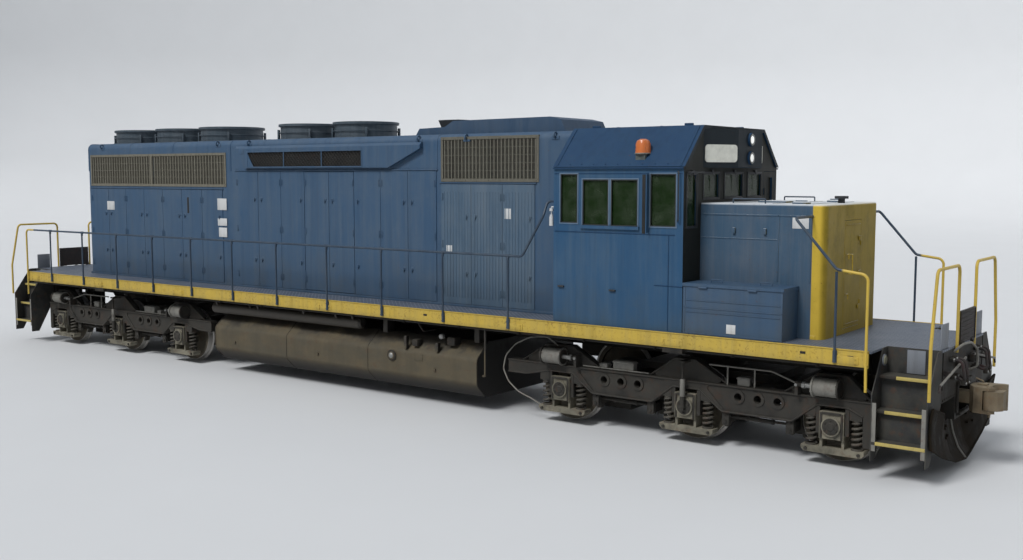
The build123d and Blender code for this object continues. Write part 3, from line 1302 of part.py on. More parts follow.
for end_name, end in (("front", 1), ("rear", -1)):
    truck_x = end * TRUCK_X

    def outward(distance):
        """A place along the truck, counted from its middle towards the coupler."""
        return truck_x + end * distance

    with BuildPart() as truck_frame:
        for side in (-1, 1):
            with BuildSketch(Plane.XZ.offset(-side * FRAME_INNER)) as beam:
                Polygon(*((outward(x), z) for x, z in beam_line), align=None)
                fillet(beam.vertices(), CAST_RADIUS)
                with Locations(*((outward(x), HOLE_Z) for x in LIGHTENING_HOLES)):
                    Circle(LIGHTENING_RADIUS, mode=Mode.SUBTRACT)
                for offset in AXLE_OFFSETS:
                    for leg in (-1, 1):
                        with Locations((outward(offset) + leg * sum(PEDESTAL) / 2, (PEDESTAL_Z + ARCH_TOP) / 2)):
                            Rectangle(PEDESTAL[1] - PEDESTAL[0], ARCH_TOP - PEDESTAL_Z)
                        with Locations((outward(offset) + leg * SPRING_OFFSET, (SPRING_TOP + ARCH_TOP) / 2)):
                            Rectangle(2 * SPRING_RADIUS, ARCH_TOP - SPRING_TOP)
            extrude(amount=-side * (FRAME_OUTER - FRAME_INNER))
            with BuildSketch(Plane.XZ.offset(-side * FRAME_OUTER)) as pocket:
                for bay in (-AXLE_SPACING / 2, AXLE_SPACING / 2):
                    with BuildSketch(mode=Mode.PRIVATE) as bay_panel:
                        Polygon(
                            (outward(bay - TRANSOM_X + ARCH_HALF + POCKET_RIM), BEAM_BOTTOM + POCKET_RIM),
                            (outward(bay - TRANSOM_X + ARCH_TOP_HALF + 2 * POCKET_RIM), BEAM_TOP - POCKET_RIM),
                            (outward(bay + TRANSOM_X - ARCH_TOP_HALF - 2 * POCKET_RIM), BEAM_TOP - POCKET_RIM),
                            (outward(bay + TRANSOM_X - ARCH_HALF - POCKET_RIM), BEAM_BOTTOM + POCKET_RIM),
                            align=None,
                        )
                        fillet(bay_panel.vertices(), CAST_RADIUS)
                    add(bay_panel.sketch)
                with Locations(*((outward(x), HOLE_Z) for x in LIGHTENING_HOLES)):
                    Circle(BOSS_RADIUS, mode=Mode.SUBTRACT)
            extrude(amount=side * POCKET_DEPTH, mode=Mode.SUBTRACT)
            for hump in HUMPS:
                with BuildSketch(Plane.XZ.offset(-side * FRAME_INNER)) as web:
                    inner_foot, inner_top, outer_top, outer_foot = map(outward, hump)
                    Polygon(
                        (inner_foot, BEAM_TOP),
                        (inner_top, HUMP_TOP),
                        (outer_top, HUMP_TOP),
                        (outer_foot, BEAM_TOP),
                        align=None,
                    )
                    fillet(web.vertices().group_by(Axis.Z)[-1], CAST_RADIUS)
                extrude(amount=-side * (WEB_OUTER - FRAME_INNER))
        for transom in (-1, 1):
            middle = truck_x + transom * TRANSOM_X
            block((middle - TRANSOM_HALF, middle + TRANSOM_HALF), (-FRAME_INNER, FRAME_INNER), TRANSOM_Z)
        block((truck_x - TRANSOM_X, truck_x + TRANSOM_X), (-BOLSTER_WIDE, BOLSTER_WIDE), (TRANSOM_Z[1], BOLSTER_TOP))
        with BuildSketch(Plane.XY.offset(BOLSTER_TOP)):
            with Locations((truck_x, 0)):
                Circle(CENTRE_BEARING_RADIUS)
        extrude(amount=CENTRE_SILL_BOTTOM - CENTRE_BEARING_DROP - SEAT_GAP - BOLSTER_TOP)
    truck_frame.part.label = f"truck_frame_{end_name}"
    export_step(truck_frame.part, f"parts/truck_frame_{end_name}.step")

    with BuildPart() as journal_boxes:
        for offset in AXLE_OFFSETS:
            axle_x = truck_x + offset
            for side in (-1, 1):
                block(
                    (axle_x - BOX_HALF, axle_x + BOX_HALF),
                    sorted((side * (FRAME_INNER - 30), side * BOX_OUTER)),
                    BOX_Z,
                )
                with BuildSketch(Plane.XZ.offset(-side * FRAME_INNER)) as wings:
                    Polygon(
                        (axle_x - WING_HALF, WING_Z[0] + CAST_RADIUS),
                        (axle_x - WING_HALF + CAST_RADIUS, WING_Z[0]),
                        (axle_x + WING_HALF - CAST_RADIUS, WING_Z[0]),
                        (axle_x + WING_HALF, WING_Z[0] + CAST_RADIUS),
                        (axle_x + WING_HALF, WING_Z[1]),
                        (axle_x - WING_HALF, WING_Z[1]),
                        align=None,
                    )
                    for wall in (-1, 1):
                        with Locations((axle_x + wall * (BOX_HALF - SLOT_WALL / 2), (WING_Z[1] + BOX_Z[0]) / 2)):
                            Rectangle(SLOT_WALL, BOX_Z[0] - WING_Z[1])
                extrude(amount=-side * (FRAME_OUTER - FRAME_INNER))
                with BuildSketch(Plane.XZ.offset(-side * BOX_OUTER)):
                    with Locations((axle_x, AXLE_Z)):
                        Circle(COVER_RADIUS)
                extrude(amount=-side * COVER_REACH)
                with BuildSketch(Plane.XZ.offset(-side * (FRAME_INNER - 30))):
                    with Locations((axle_x, AXLE_Z)):
                        Circle(JOURNAL_RADIUS + BORE_GAP)
                extrude(amount=-side * (AXLE_HALF + 10 - FRAME_INNER + 30), mode=Mode.SUBTRACT)
    journal_boxes.part.label = f"journal_boxes_{end_name}"
    export_step(journal_boxes.part, f"parts/journal_boxes_{end_name}.step")

    with BuildPart() as springs:
        with BuildSketch(Plane.XY.offset(WING_Z[1])):
            for offset in AXLE_OFFSETS:
                for side in (-1, 1):
                    for leg in (-1, 1):
                        with Locations((truck_x + offset + leg * SPRING_OFFSET, side * (FRAME_INNER + FRAME_OUTER) / 2)):
                            Circle(SPRING_RADIUS)
        extrude(amount=SPRING_TOP - WING_Z[1])
    springs.part.label = f"springs_{end_name}"
    export_step(springs.part, f"parts/springs_{end_name}.step")

    # Brake cylinders with their rods and levers, shoes on their heads, pull rods and the middle axle's dampers
    with BuildPart() as brake_gear:
        for side in (-1, 1):
            for lever, rod, barrel, barrel_end in CYLINDERS:
                block(
                    sorted((outward(lever), outward(rod))),
                    sorted((side * WEB_OUTER, side * (CYLINDER_Y + 30))),
                    (BEAM_TOP, CYLINDER_Z + 40),
                )
                for radius, reach in ((CYLINDER_RADIUS / 4, (rod, barrel)), (CYLINDER_RADIUS, (barrel, barrel_end))):
                    with BuildSketch(Plane.YZ.offset(min(map(outward, reach)))):
                        with Locations((side * CYLINDER_Y, CYLINDER_Z)):
                            Circle(radius)
                    extrude(amount=abs(reach[1] - reach[0]))
            for wheel_offset, toward in SHOES:
                wheel_x = outward(wheel_offset)
                facing = end * toward
                tread = WHEEL_RADIUS + SHOE_GAP
                with BuildSketch(Plane.XZ.offset(-side * (WHEEL_BACK + 50))):
                    with Locations((wheel_x, AXLE_Z)):
                        Circle(tread + SHOE_REACH)
                        Circle(tread, mode=Mode.SUBTRACT)
                    with Locations((wheel_x + facing * (tread + SHOE_REACH), SHOE_Z)):
                        Rectangle(300, SHOE_TALL, mode=Mode.INTERSECT)
                extrude(amount=-side * (WHEEL_WIDTH - 56))
                block(
                    sorted((wheel_x + facing * (tread + 20), wheel_x + facing * (tread + 100))),
                    sorted((side * (WHEEL_BACK + 50), side * (FRAME_INNER + 60))),
                    SHOE_HEAD_Z,
                )
                block(
                    sorted((wheel_x + facing * (tread + 50), wheel_x + facing * (tread + 100))),
                    sorted((side * FRAME_INNER, side * (FRAME_INNER + 60))),
                    (SHOE_HEAD_Z[1], BEAM_BOTTOM),
                )
            rod_end = WHEEL_RADIUS + SHOE_GAP + 100
            for bay in (-AXLE_SPACING, 0):
                with BuildSketch(Plane.YZ.offset(min(outward(bay + rod_end), outward(bay + AXLE_SPACING - rod_end)))):
                    with Locations((side * (FRAME_INNER + 30), ROD_Z)):
                        Circle(ROD_RADIUS)
                extrude(amount=AXLE_SPACING - 2 * rod_end)
            eye_low, body_low, body_high, rod_high, bracket_high = DAMPER_Z
            damper_face = side * (BOX_OUTER + COVER_REACH)
            block(
                (truck_x - 30, truck_x + 30),
                sorted((damper_face, side * (DAMPER_Y + 32))),
                (eye_low, body_low),
            )
            block(
                (truck_x - 45, truck_x + 45),
                sorted((side * WEB_OUTER, side * (DAMPER_Y + 32))),
                (rod_high, bracket_high),
            )
            for radius, low, high in ((32, body_low, body_high), (17, body_high, rod_high)):
                with BuildSketch(Plane.XY.offset(low)):
                    with Locations((truck_x, side * DAMPER_Y)):
                        Circle(radius)
                extrude(amount=high - low)
    brake_gear.part.label = f"brake_gear_{end_name}"
    export_step(brake_gear.part, f"parts/brake_gear_{end_name}.step")

    # Traction motors: hung on the axle and nosed on a transom
    with BuildPart() as traction_motors:
        for wheel_offset, toward in ((AXLE_SPACING, -1), (0, -1), (-AXLE_SPACING, 1)):
            axle_x = truck_x + wheel_offset
            motor_x = axle_x + toward * 500
            transom_gap = AXLE_SPACING - TRANSOM_X - TRANSOM_HALF if wheel_offset else TRANSOM_X - TRANSOM_HALF
            with BuildSketch(Plane.XZ.offset(-450)):
                with Locations((motor_x, AXLE_Z - 20)):
                    Rectangle(620, 620)
                with Locations((axle_x + toward * 100, AXLE_Z)):
                    Rectangle(200, 360)
                with Locations((axle_x, AXLE_Z)):
                    Circle(180)
                    Circle(AXLE_RADIUS + 6, mode=Mode.SUBTRACT)
            extrude(amount=900)
            block(
                sorted((axle_x + toward * 800, axle_x + toward * transom_gap)),
                (-150, 150),
                (TRANSOM_Z[0] + 20, TRANSOM_Z[0] + 160),
            )
    traction_motors.part.label = f"traction_motors_{end_name}"
    export_step(traction_motors.part, f"parts/traction_motors_{end_name}.step")
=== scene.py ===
import json
import math

import bmesh
import bpy
from mathutils import Matrix, Vector


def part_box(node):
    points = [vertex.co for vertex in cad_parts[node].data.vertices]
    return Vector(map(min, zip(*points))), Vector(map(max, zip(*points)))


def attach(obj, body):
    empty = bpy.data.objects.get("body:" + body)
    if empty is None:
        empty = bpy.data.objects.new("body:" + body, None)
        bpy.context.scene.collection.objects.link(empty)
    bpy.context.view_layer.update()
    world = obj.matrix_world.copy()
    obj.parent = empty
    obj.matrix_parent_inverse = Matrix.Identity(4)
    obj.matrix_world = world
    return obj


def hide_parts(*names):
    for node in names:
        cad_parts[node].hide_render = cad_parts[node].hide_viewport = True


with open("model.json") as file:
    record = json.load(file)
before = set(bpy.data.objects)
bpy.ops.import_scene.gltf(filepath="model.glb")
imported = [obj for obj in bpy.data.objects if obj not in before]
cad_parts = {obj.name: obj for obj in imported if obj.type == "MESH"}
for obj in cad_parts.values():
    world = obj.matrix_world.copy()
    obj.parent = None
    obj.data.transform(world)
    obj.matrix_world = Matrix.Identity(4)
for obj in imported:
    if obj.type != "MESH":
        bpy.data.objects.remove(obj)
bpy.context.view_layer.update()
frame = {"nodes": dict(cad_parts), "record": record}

bl_info = {
    "name": "Road diesel locomotive",
    "version": (1, 0, 0),
    "blender": (4, 5, 0),
    "location": "View3D > Sidebar > Locomotive",
    "description": "Dresses the locomotive's solids with paint, hardware and fittings",
    "category": "Object",
}

SLOTS = {row["node"]: row["material_slot"] for row in frame["record"]["subparts"]}
PAINTS = {}
RAIL = 0.028
BODY = "locomotive"
SIDES = (-1, 1)
X, Y, Z = Vector((1, 0, 0)), Vector((0, 1, 0)), Vector((0, 0, 1))

# Places taken from the solids, in metres
HOOD_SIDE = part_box("equipment_hood")[1].y
HOOD_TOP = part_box("equipment_hood")[1].z
HOOD_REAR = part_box("radiator_hood")[0].x
HOOD_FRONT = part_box("equipment_hood")[1].x
DOOR_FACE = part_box("hood_doors")[1].y
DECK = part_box("deck_plate")[1].z
DECK_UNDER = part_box("deck_plate")[0].z
SILL_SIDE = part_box("side_sills")[1].y
SILL_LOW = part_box("side_sills")[0].z
CAB_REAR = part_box("cab_shell")[0].x
CAB_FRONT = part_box("cab_shell")[1].x
CAB_SIDE = 1.5
CAB_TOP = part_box("cab_roof")[1].z
CAB_BELT = RAIL + 2.87
EAVE = RAIL + 3.79
ROOF_SHOULDER = 0.98
ROOF_EAVE = 1.522
NOSE_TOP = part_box("nose_hood")[1].z
NOSE_SIDE = 1.0
TRUCK_X = 6.63
TRUCKS = (("truck_front", 1), ("truck_rear", -1))
AXLES = (2.07, 0.0, -2.07)
AXLE_Z = RAIL + 0.508
FRAME_OUTER = 1.12
LEAF = 0.62
HOOD_CORNER = 0.12
DOOR_LOW = RAIL + 1.62
# Rows of hood doors: rear edge, leaves, top, and the leaves that open
DOOR_ROWS = (
    (-2.99, 8, RAIL + 3.74, (3, 4)),
    (-7.74, 7, RAIL + 3.39, ()),
    (2.07, 3, RAIL + 3.53, ()),
)
# Side grilles: rear, front, bottom, top and the pitch of the fine fins
GRILLES = (
    (-7.74, -5.64, RAIL + 3.45, RAIL + 4.10, 0.0283),
    (-5.60, -3.28, RAIL + 3.45, RAIL + 4.10, 0.0283),
    (2.07, 4.0, RAIL + 3.57, RAIL + 4.28, 0.0233),
)
BRAKE_MESH = (-2.56, 0.36, RAIL + 3.83, RAIL + 4.09)
BLISTER_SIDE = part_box("brake_hatch")[1].y
# Windows: the two ends along the wall, bottom and top
SIDE_WINDOWS = (
    (4.79, 5.08, RAIL + 3.0, RAIL + 3.69),
    (5.165, 5.59, RAIL + 2.975, RAIL + 3.615),
    (5.63, 6.055, RAIL + 2.975, RAIL + 3.615),
    (6.25, 6.64, RAIL + 2.985, RAIL + 3.69),
)
FRONT_WINDOWS = (
    (-1.41, -1.13, RAIL + 2.985, RAIL + 3.69),
    (-0.93, -0.47, RAIL + 3.36, RAIL + 3.70),
    (-0.29, 0.29, RAIL + 3.36, RAIL + 3.70),
    (0.47, 0.93, RAIL + 3.36, RAIL + 3.70),
)
HEADLIGHTS = (RAIL + 3.915, RAIL + 4.17)
BEACON = Vector((6.05, -1.36, 4.083))
BATTERY_SIDE = 1.485
BATTERY_TOP = RAIL + 2.25
BATTERY_FRONT = 8.157
# Roof fans: place along the hood, radius
FANS = ((-7.05, 0.61), (-5.62, 0.61), (-4.2, 0.61), (-1.92, 0.56), (-0.48, 0.56))

# Trucks: faces of the cast parts, heights of the beam, its ends counted outwards from the middle
JOURNAL_FACE = 1.185
BOX_FACE = 1.15
WEB_FACE = 1.07
BEAM_TOP = RAIL + 0.87
BEAM_LOW = RAIL + 0.49
ARCH_TOP = RAIL + 0.75
ARM_LOW = RAIL + 0.66
HUMP_TOP = RAIL + 1.165
BEAM_INNER = -3.05
BEAM_OUTER = 2.56
# Webs over the axles, counted outwards: inner foot, inner top, outer top, outer foot
HUMPS = ((-2.80, -2.35, -1.90, -1.41), (-0.59, -0.20, 0.12, 0.60), (1.41, 1.85, 2.25, 2.54))
SPRING_OFFSET = 0.30
SPRING_SIDE = 1.035
SPRING_RADIUS = 0.08
SPRING_INNER = 0.034
SPRING_TURNS = 5
SPRING_CAP = 0.018
CYLINDER_Y = 1.185
CYLINDER_Z = RAIL + 1.005
# Brake cylinders, counted outwards: lever, barrel's near end, barrel's far end
CYLINDERS = ((1.64, 1.85, 2.18), (-1.79, -2.00, -2.33))
BRAKE_HEADS = (2.07 - 0.578, 0.578, -0.578, -2.07 + 0.578)
DAMPER_Y = 1.225

# Ends: treads as outer edge, inner edge and top
END_FACE = 9.97
WELL_START = 9.308
WELL_INNER = 0.95
TREADS = ((1.49, 1.29, RAIL + 0.47), (1.37, 1.15, RAIL + 0.84), (1.25, WELL_INNER, RAIL + 1.25))
HOSES = (0.50, 0.64)
HOSE_TOP = DECK_UNDER - 0.12
RAIL_SIDE = 1.572
RAIL_Z = RAIL + 2.49
STANCHIONS = (-8.32, -7.13, -5.94, -4.75, -3.56, -2.37, -1.18, 0.08, 1.34, 2.64, 3.90)
TANK_SIDE = 1.35
TANK_LOW = RAIL + 0.20


# Shader building


class Wire:
    """A socket of a material, with arithmetic."""

    def __init__(self, paint, socket):
        self.paint = paint
        self.socket = socket

    def math(self, operation, first, second):
        return self.paint.node("ShaderNodeMath", {"operation": operation}, {0: first, 1: second})

    def __add__(self, other):
        return self.math("ADD", self, other)

    __radd__ = __add__

    def __sub__(self, other):
        return self.math("SUBTRACT", self, other)

    def __rsub__(self, other):
        return self.math("SUBTRACT", other, self)

    def __mul__(self, other):
        return self.math("MULTIPLY", self, other)

    __rmul__ = __mul__

    def __pow__(self, other):
        return self.math("POWER", self, other)

    def __or__(self, other):
        return self.math("MAXIMUM", self, other)

    def __and__(self, other):
        return self.math("MINIMUM", self, other)

    def frac(self):
        return self.math("FRACT", self, 0)

    def size(self):
        return self.math("ABSOLUTE", self, 0)


class Paint:
    """A node material with one Principled shader."""

    def __init__(self, name, mirror=0.5):
        self.name = name
        self.material = bpy.data.materials.new(name)
        self.material.use_nodes = True
        self.tree = self.material.node_tree
        self.shader = self.tree.nodes["Principled BSDF"]
        self.shader.inputs["Specular IOR Level"].default_value = mirror
        self.coords = self.node("ShaderNodeTexCoord", {}, {}, "Object")

    def node(self, kind, settings, sockets, out=0):
        made = self.tree.nodes.new(kind)
        for key, value in settings.items():
            setattr(made, key, value)
        for key, value in sockets.items():
            self.set(made.inputs[key], value)
        return Wire(self, made.outputs[out])

    def set(self, socket, value):
        if isinstance(value, Wire):
            self.tree.links.new(value.socket, socket)
        elif isinstance(value, (tuple, list)) and socket.type == "RGBA":
            socket.default_value = (*value[:3], 1)
        else:
            socket.default_value = value

    def noise(self, scale, detail=4, stretch=None, rough=0.6, shift=0.0):
        vector = self.coords
        if stretch:
            sockets = {"Vector": vector, "Scale": stretch, "Location": (shift,) * 3}
            vector = self.node("ShaderNodeMapping", {}, sockets)
        sockets = {"Vector": vector, "Scale": scale, "Detail": detail, "Roughness": rough}
        return self.node("ShaderNodeTexNoise", {}, sockets)

    def ramp(self, wire, low, high):
        """0 at low, 1 at high, straight between."""
        return self.node("ShaderNodeMapRange", {}, {0: wire, 1: low, 2: high, 3: 0.0, 4: 1.0})

    def mix(self, first, second, share):
        return self.node("ShaderNodeMix", {"data_type": "RGBA"}, {0: share, 6: first, 7: second}, 2)

    def axis(self, number):
        return self.node("ShaderNodeSeparateXYZ", {}, {0: self.coords}, number)

    def facing(self, number):
        """One axis of the surface's normal."""
        normal = self.node("ShaderNodeNewGeometry", {}, {}, "Normal")
        return self.node("ShaderNodeSeparateXYZ", {}, {0: normal}, number)

    def bump(self, height, strength, distance):
        sockets = {"Height": height, "Strength": strength, "Distance": distance}
        return self.node("ShaderNodeBump", {}, sockets, "Normal")

    def finish(self, **sockets):
        for key, value in sockets.items():
            self.set(self.shader.inputs[key.replace("_", " ")], value)
        PAINTS[self.name] = self.material
        return self.shader


def shade(colour, factor):
    return tuple(min(1.0, c * factor) for c in colour)


def weathered(
    name,
    base,
    dust,
    rust,
    streaks=0.35,
    chips=0.62,
    gloss=0.5,
    second=None,
    split=None,
    low=None,
    metal=0.0,
    top=None,
    front_shade=None,
    mirror=0.5,
):
    """Paint that has faded, run with dust and chipped to rust.
    second is another coat and its dust, where split says so; low is the height under which road dirt
    gathers; top is a painted highlight, the pale glare on faces that look up; the colour that darkens faces
    that look forward is painted shade; mirror is the strength of reflections."""
    paint = Paint(name, mirror)
    cloud = paint.ramp(paint.noise(0.9, 6), 0.32, 0.68)
    patch = paint.ramp(paint.noise(3.1, 5, (1, 1, 0.8), 0.65, 4.0), 0.45, 0.72)
    run = paint.ramp(paint.noise(1.0, 5, (11, 11, 0.45), 0.7), 0.46, 0.75)
    speck = paint.noise(26, 6, rough=0.75)
    chip = paint.ramp(speck, chips, chips + 0.05)
    coat, veil, deep, mud = base, dust, shade(base, 0.45), shade(dust, 0.42)
    if second:
        share = split(paint)
        coat = paint.mix(base, second[0], share)
        veil = paint.mix(dust, second[1], share)
        deep = paint.mix(deep, shade(second[0], 0.45), share)
        mud = paint.mix(mud, shade(second[0], 0.5), share)
    colour = paint.mix(coat, veil, cloud * 0.16 + patch * 0.16)
    colour = paint.mix(colour, veil, run * streaks)
    darker = paint.ramp(paint.noise(1.3, 4, (7, 7, 0.3), 0.6, 9.0), 0.5, 0.78)
    colour = paint.mix(colour, deep, darker * streaks)
    # Painted shade: faces that look forward are darkened towards the front colour
    if front_shade:
        colour = paint.mix(colour, front_shade, paint.ramp(paint.facing(0), 0.4, 0.8) * (0.65 + 0.25 * patch))
    if low:
        film = (1.0 - paint.ramp(paint.axis(2), low[0], low[1])) * (0.35 + 0.65 * patch)
        colour = paint.mix(colour, mud, film * 0.7)
    # Painted highlight: faces that look up are lightened towards the top colour
    if top:
        colour = paint.mix(colour, top, paint.ramp(paint.facing(2), 0.35, 0.9) * (0.8 + 0.2 * patch))
    colour = paint.mix(colour, rust, chip * (0.25 + 0.6 * patch))
    rough = gloss + 0.18 * cloud + 0.12 * run + 0.2 * chip
    height = speck * 0.25 + cloud * 0.5 - chip * 0.5
    paint.finish(Base_Color=colour, Roughness=rough, Metallic=metal, Normal=paint.bump(height, 0.18, 0.004))


def cast(name, base, dust, rust, shine=None, rough=0.72, metal=0.25, mirror=0.5):
    """Rough cast or rolled steel under dust and oil; shine says where it is worn bright."""
    paint = Paint(name, mirror)
    cloud = paint.ramp(paint.noise(2.2, 6, rough=0.7), 0.35, 0.66)
    oil = paint.ramp(paint.noise(5.0, 5, (1, 1, 0.6), 0.65, 3.0), 0.52, 0.7)
    grain = paint.noise(90, 3, rough=0.7)
    rusty = paint.ramp(paint.noise(7.0, 6, rough=0.75, stretch=(1, 1, 1), shift=7.0), 0.53, 0.7)
    colour = paint.mix(base, dust, cloud * 0.7)
    colour = paint.mix(colour, rust, rusty * 0.55)
    colour = paint.mix(colour, shade(base, 0.35), oil * 0.75)
    up = paint.ramp(paint.facing(2), 0.3, 0.9)
    colour = paint.mix(colour, dust, up * (0.35 + 0.4 * cloud))
    roughness = rough + 0.15 * cloud - 0.25 * oil
    if shine:
        band = shine(paint)
        colour = paint.mix(colour, (0.42, 0.40, 0.37), band)
        roughness = roughness - 0.35 * band
    normal = paint.bump(grain * 0.6 + rusty, 0.35, 0.003)
    paint.finish(Base_Color=colour, Roughness=roughness, Metallic=metal, Normal=normal)


def nose_split(paint):
    """The yellow front of the nose."""
    return paint.ramp(paint.axis(0), 8.325, 8.335)


def rail_split(paint):
    """The yellow ends of the handrails."""
    return paint.ramp(paint.axis(0).size(), 8.93, 8.96)


def faded_split(paint):
    """The doors under the front intake have faded more."""
    return paint.ramp(paint.axis(0), 2.06, 2.08) & (1.0 - paint.ramp(paint.axis(0), 3.92, 3.94))


def intake_split(paint):
    return paint.ramp(paint.axis(0), 1.9, 2.0)


def forward_split(paint):
    """Faces in front of the cab that look forward, against glare."""
    return paint.ramp(paint.facing(0), 0.3, 0.5) & paint.ramp(paint.axis(0), 6.6, 6.7)


def fitting_paint(name, base, pale, amber):
    """Dark roof fittings, with the warning lamp's amber dome on its pale foot."""
    paint = Paint(name)
    cloud = paint.ramp(paint.noise(5.0, 5, rough=0.7), 0.35, 0.7)
    along = paint.axis(0)
    foot = paint.ramp(along, 5.90, 5.92) & (1.0 - paint.ramp(along, 6.2, 6.22))
    dome = foot * paint.ramp(paint.axis(2), BEACON.z + 0.002, BEACON.z + 0.004)
    colour = paint.mix(base, shade(base, 2.2), cloud * 0.6)
    colour = paint.mix(colour, paint.mix(pale, shade(pale, 0.6), cloud), foot)
    colour = paint.mix(colour, paint.mix(amber, shade(amber, 0.6), cloud * 0.5), dome)
    normal = paint.bump(paint.noise(60, 3), 0.2, 0.003)
    paint.finish(Base_Color=colour, Roughness=0.7 - 0.45 * dome + 0.1 * cloud, Normal=normal)


def tank_paint(name, base, pale, dust, rust):
    """Oily steel: dark spills on the shoulders, pale mud on the sides with runs down it, painted shade on the
    ends.
    """
    paint = Paint(name)
    height = paint.axis(2)
    cloud = paint.ramp(paint.noise(1.6, 6, (1, 1, 1.6), 0.7), 0.35, 0.68)
    runs = paint.ramp(paint.noise(1.0, 6, (5, 5, 0.5), 0.7), 0.42, 0.7)
    edge = height + 0.14 * cloud + 0.10 * runs
    spill = paint.ramp(edge, 1.02, 1.12)
    colour = paint.mix(pale, dust, cloud)
    colour = paint.mix(colour, shade(pale, 0.5), runs * 0.45)
    rusty = paint.ramp(paint.noise(4.0, 6, (1, 1, 2), 0.75, 5.0), 0.56, 0.72)
    colour = paint.mix(colour, rust, rusty * 0.6)
    colour = paint.mix(colour, base, spill * 0.85)
    colour = paint.mix(colour, shade(base, 0.7), 1.0 - paint.ramp(height, 0.30, 0.50))
    # Painted shade: the ends, which look along the track, are darkened
    ends = paint.ramp(paint.facing(0).size(), 0.6, 0.9)
    colour = paint.mix(colour, shade(base, 0.35), ends)
    grain = paint.noise(60, 4, rough=0.7)
    normal = paint.bump(grain * 0.4 + runs * 0.5, 0.25, 0.004)
    paint.finish(Base_Color=colour, Roughness=0.75 - 0.2 * spill, Normal=normal)


def tread_bands(paint):
    """The rolling faces, bright from use, on the wheels' radius about any of the axles."""
    reach = None
    for _, end in TRUCKS:
        for offset in AXLES:
            across = paint.axis(0) - (end * TRUCK_X + offset)
            rise = paint.axis(2) - AXLE_Z
            distance = (across * across + rise * rise) ** 0.5
            reach = distance if reach is None else reach & distance
    return paint.ramp(reach, 0.497, 0.501)


def tread_plate(name, base, dust):
    """Raised tread bars in two directions on worn deck plate."""
    paint = Paint(name)
    x, y = paint.axis(0), paint.axis(1)
    first = ((x + y) * 12).frac()
    second = ((x - y) * 12).frac()

    def bars(along, across):
        stripe = paint.ramp(along, 0.35, 0.45) & (1.0 - paint.ramp(along, 0.55, 0.65))
        return stripe & paint.ramp(across, 0.1, 0.2)

    relief = bars(first, second) | bars(second, first)
    cloud = paint.ramp(paint.noise(1.8, 6, rough=0.7), 0.35, 0.65)
    wear = paint.ramp(paint.noise(14, 5, rough=0.7), 0.45, 0.65)
    colour = paint.mix(base, dust, cloud * 0.7)
    colour = paint.mix(colour, (0.22, 0.235, 0.265), relief * (0.3 + 0.5 * wear))
    normal = paint.bump(relief + cloud * 0.2, 0.6, 0.006)
    paint.finish(Base_Color=colour, Roughness=0.62 - 0.2 * relief, Metallic=0.2, Normal=normal)


def glazing(name, tint, see):
    """Dark tinted glass with a film of dust."""
    paint = Paint(name, 0.16)
    film = paint.ramp(paint.noise(4.0, 6, rough=0.7), 0.4, 0.7)
    colour = paint.mix(tint, (0.10, 0.11, 0.09), film * 0.22)
    paint.finish(Base_Color=colour, Roughness=0.1 + 0.25 * film, Alpha=see + 0.15 * film)


def lit(name, colour, glow):
    """A lens or panel that glows a little, dusty at its rim."""
    paint = Paint(name)
    film = paint.ramp(paint.noise(9.0, 5), 0.4, 0.7)
    tone = paint.mix(colour, shade(colour, 0.78), film)
    shader = paint.finish(Base_Color=tone, Roughness=0.3 + 0.2 * film, Emission_Color=tone, Coat_Weight=0.4)
    shader.inputs["Emission Strength"].default_value = glow


def colour_field(name, description, default):
    return bpy.props.FloatVectorProperty(
        name=name, description=description, subtype="COLOR", size=3, default=default
    )


class LocomotiveColours(bpy.types.PropertyGroup):
    """Paint colours, linear."""

    body: colour_field("Body blue", "Hoods and cab", (0.023, 0.066, 0.132))
    stripe: colour_field("Stripe yellow", "Sills, nose and posts", (0.53, 0.365, 0.045))
    dust: colour_field("Dust", "Dust and faded paint", (0.098, 0.126, 0.150))
    rust: colour_field("Rust", "Chips and rusty steel", (0.10, 0.042, 0.018))
    grime: colour_field("Grime", "Trucks and underframe", (0.027, 0.025, 0.021))


class LocomotiveSizes(bpy.types.PropertyGroup):
    """Sizes of the small hardware."""

    bolt: bpy.props.FloatProperty(
        name="Bolt head", description="Half width of a bolt head", default=0.014, unit="LENGTH"
    )
    seam: bpy.props.FloatProperty(
        name="Seam strip", description="Thickness of a cover strip", default=0.006, unit="LENGTH"
    )
    wire: bpy.props.FloatProperty(
        name="Spring wire", description="Radius of the coil springs' bar", default=0.017, unit="LENGTH"
    )


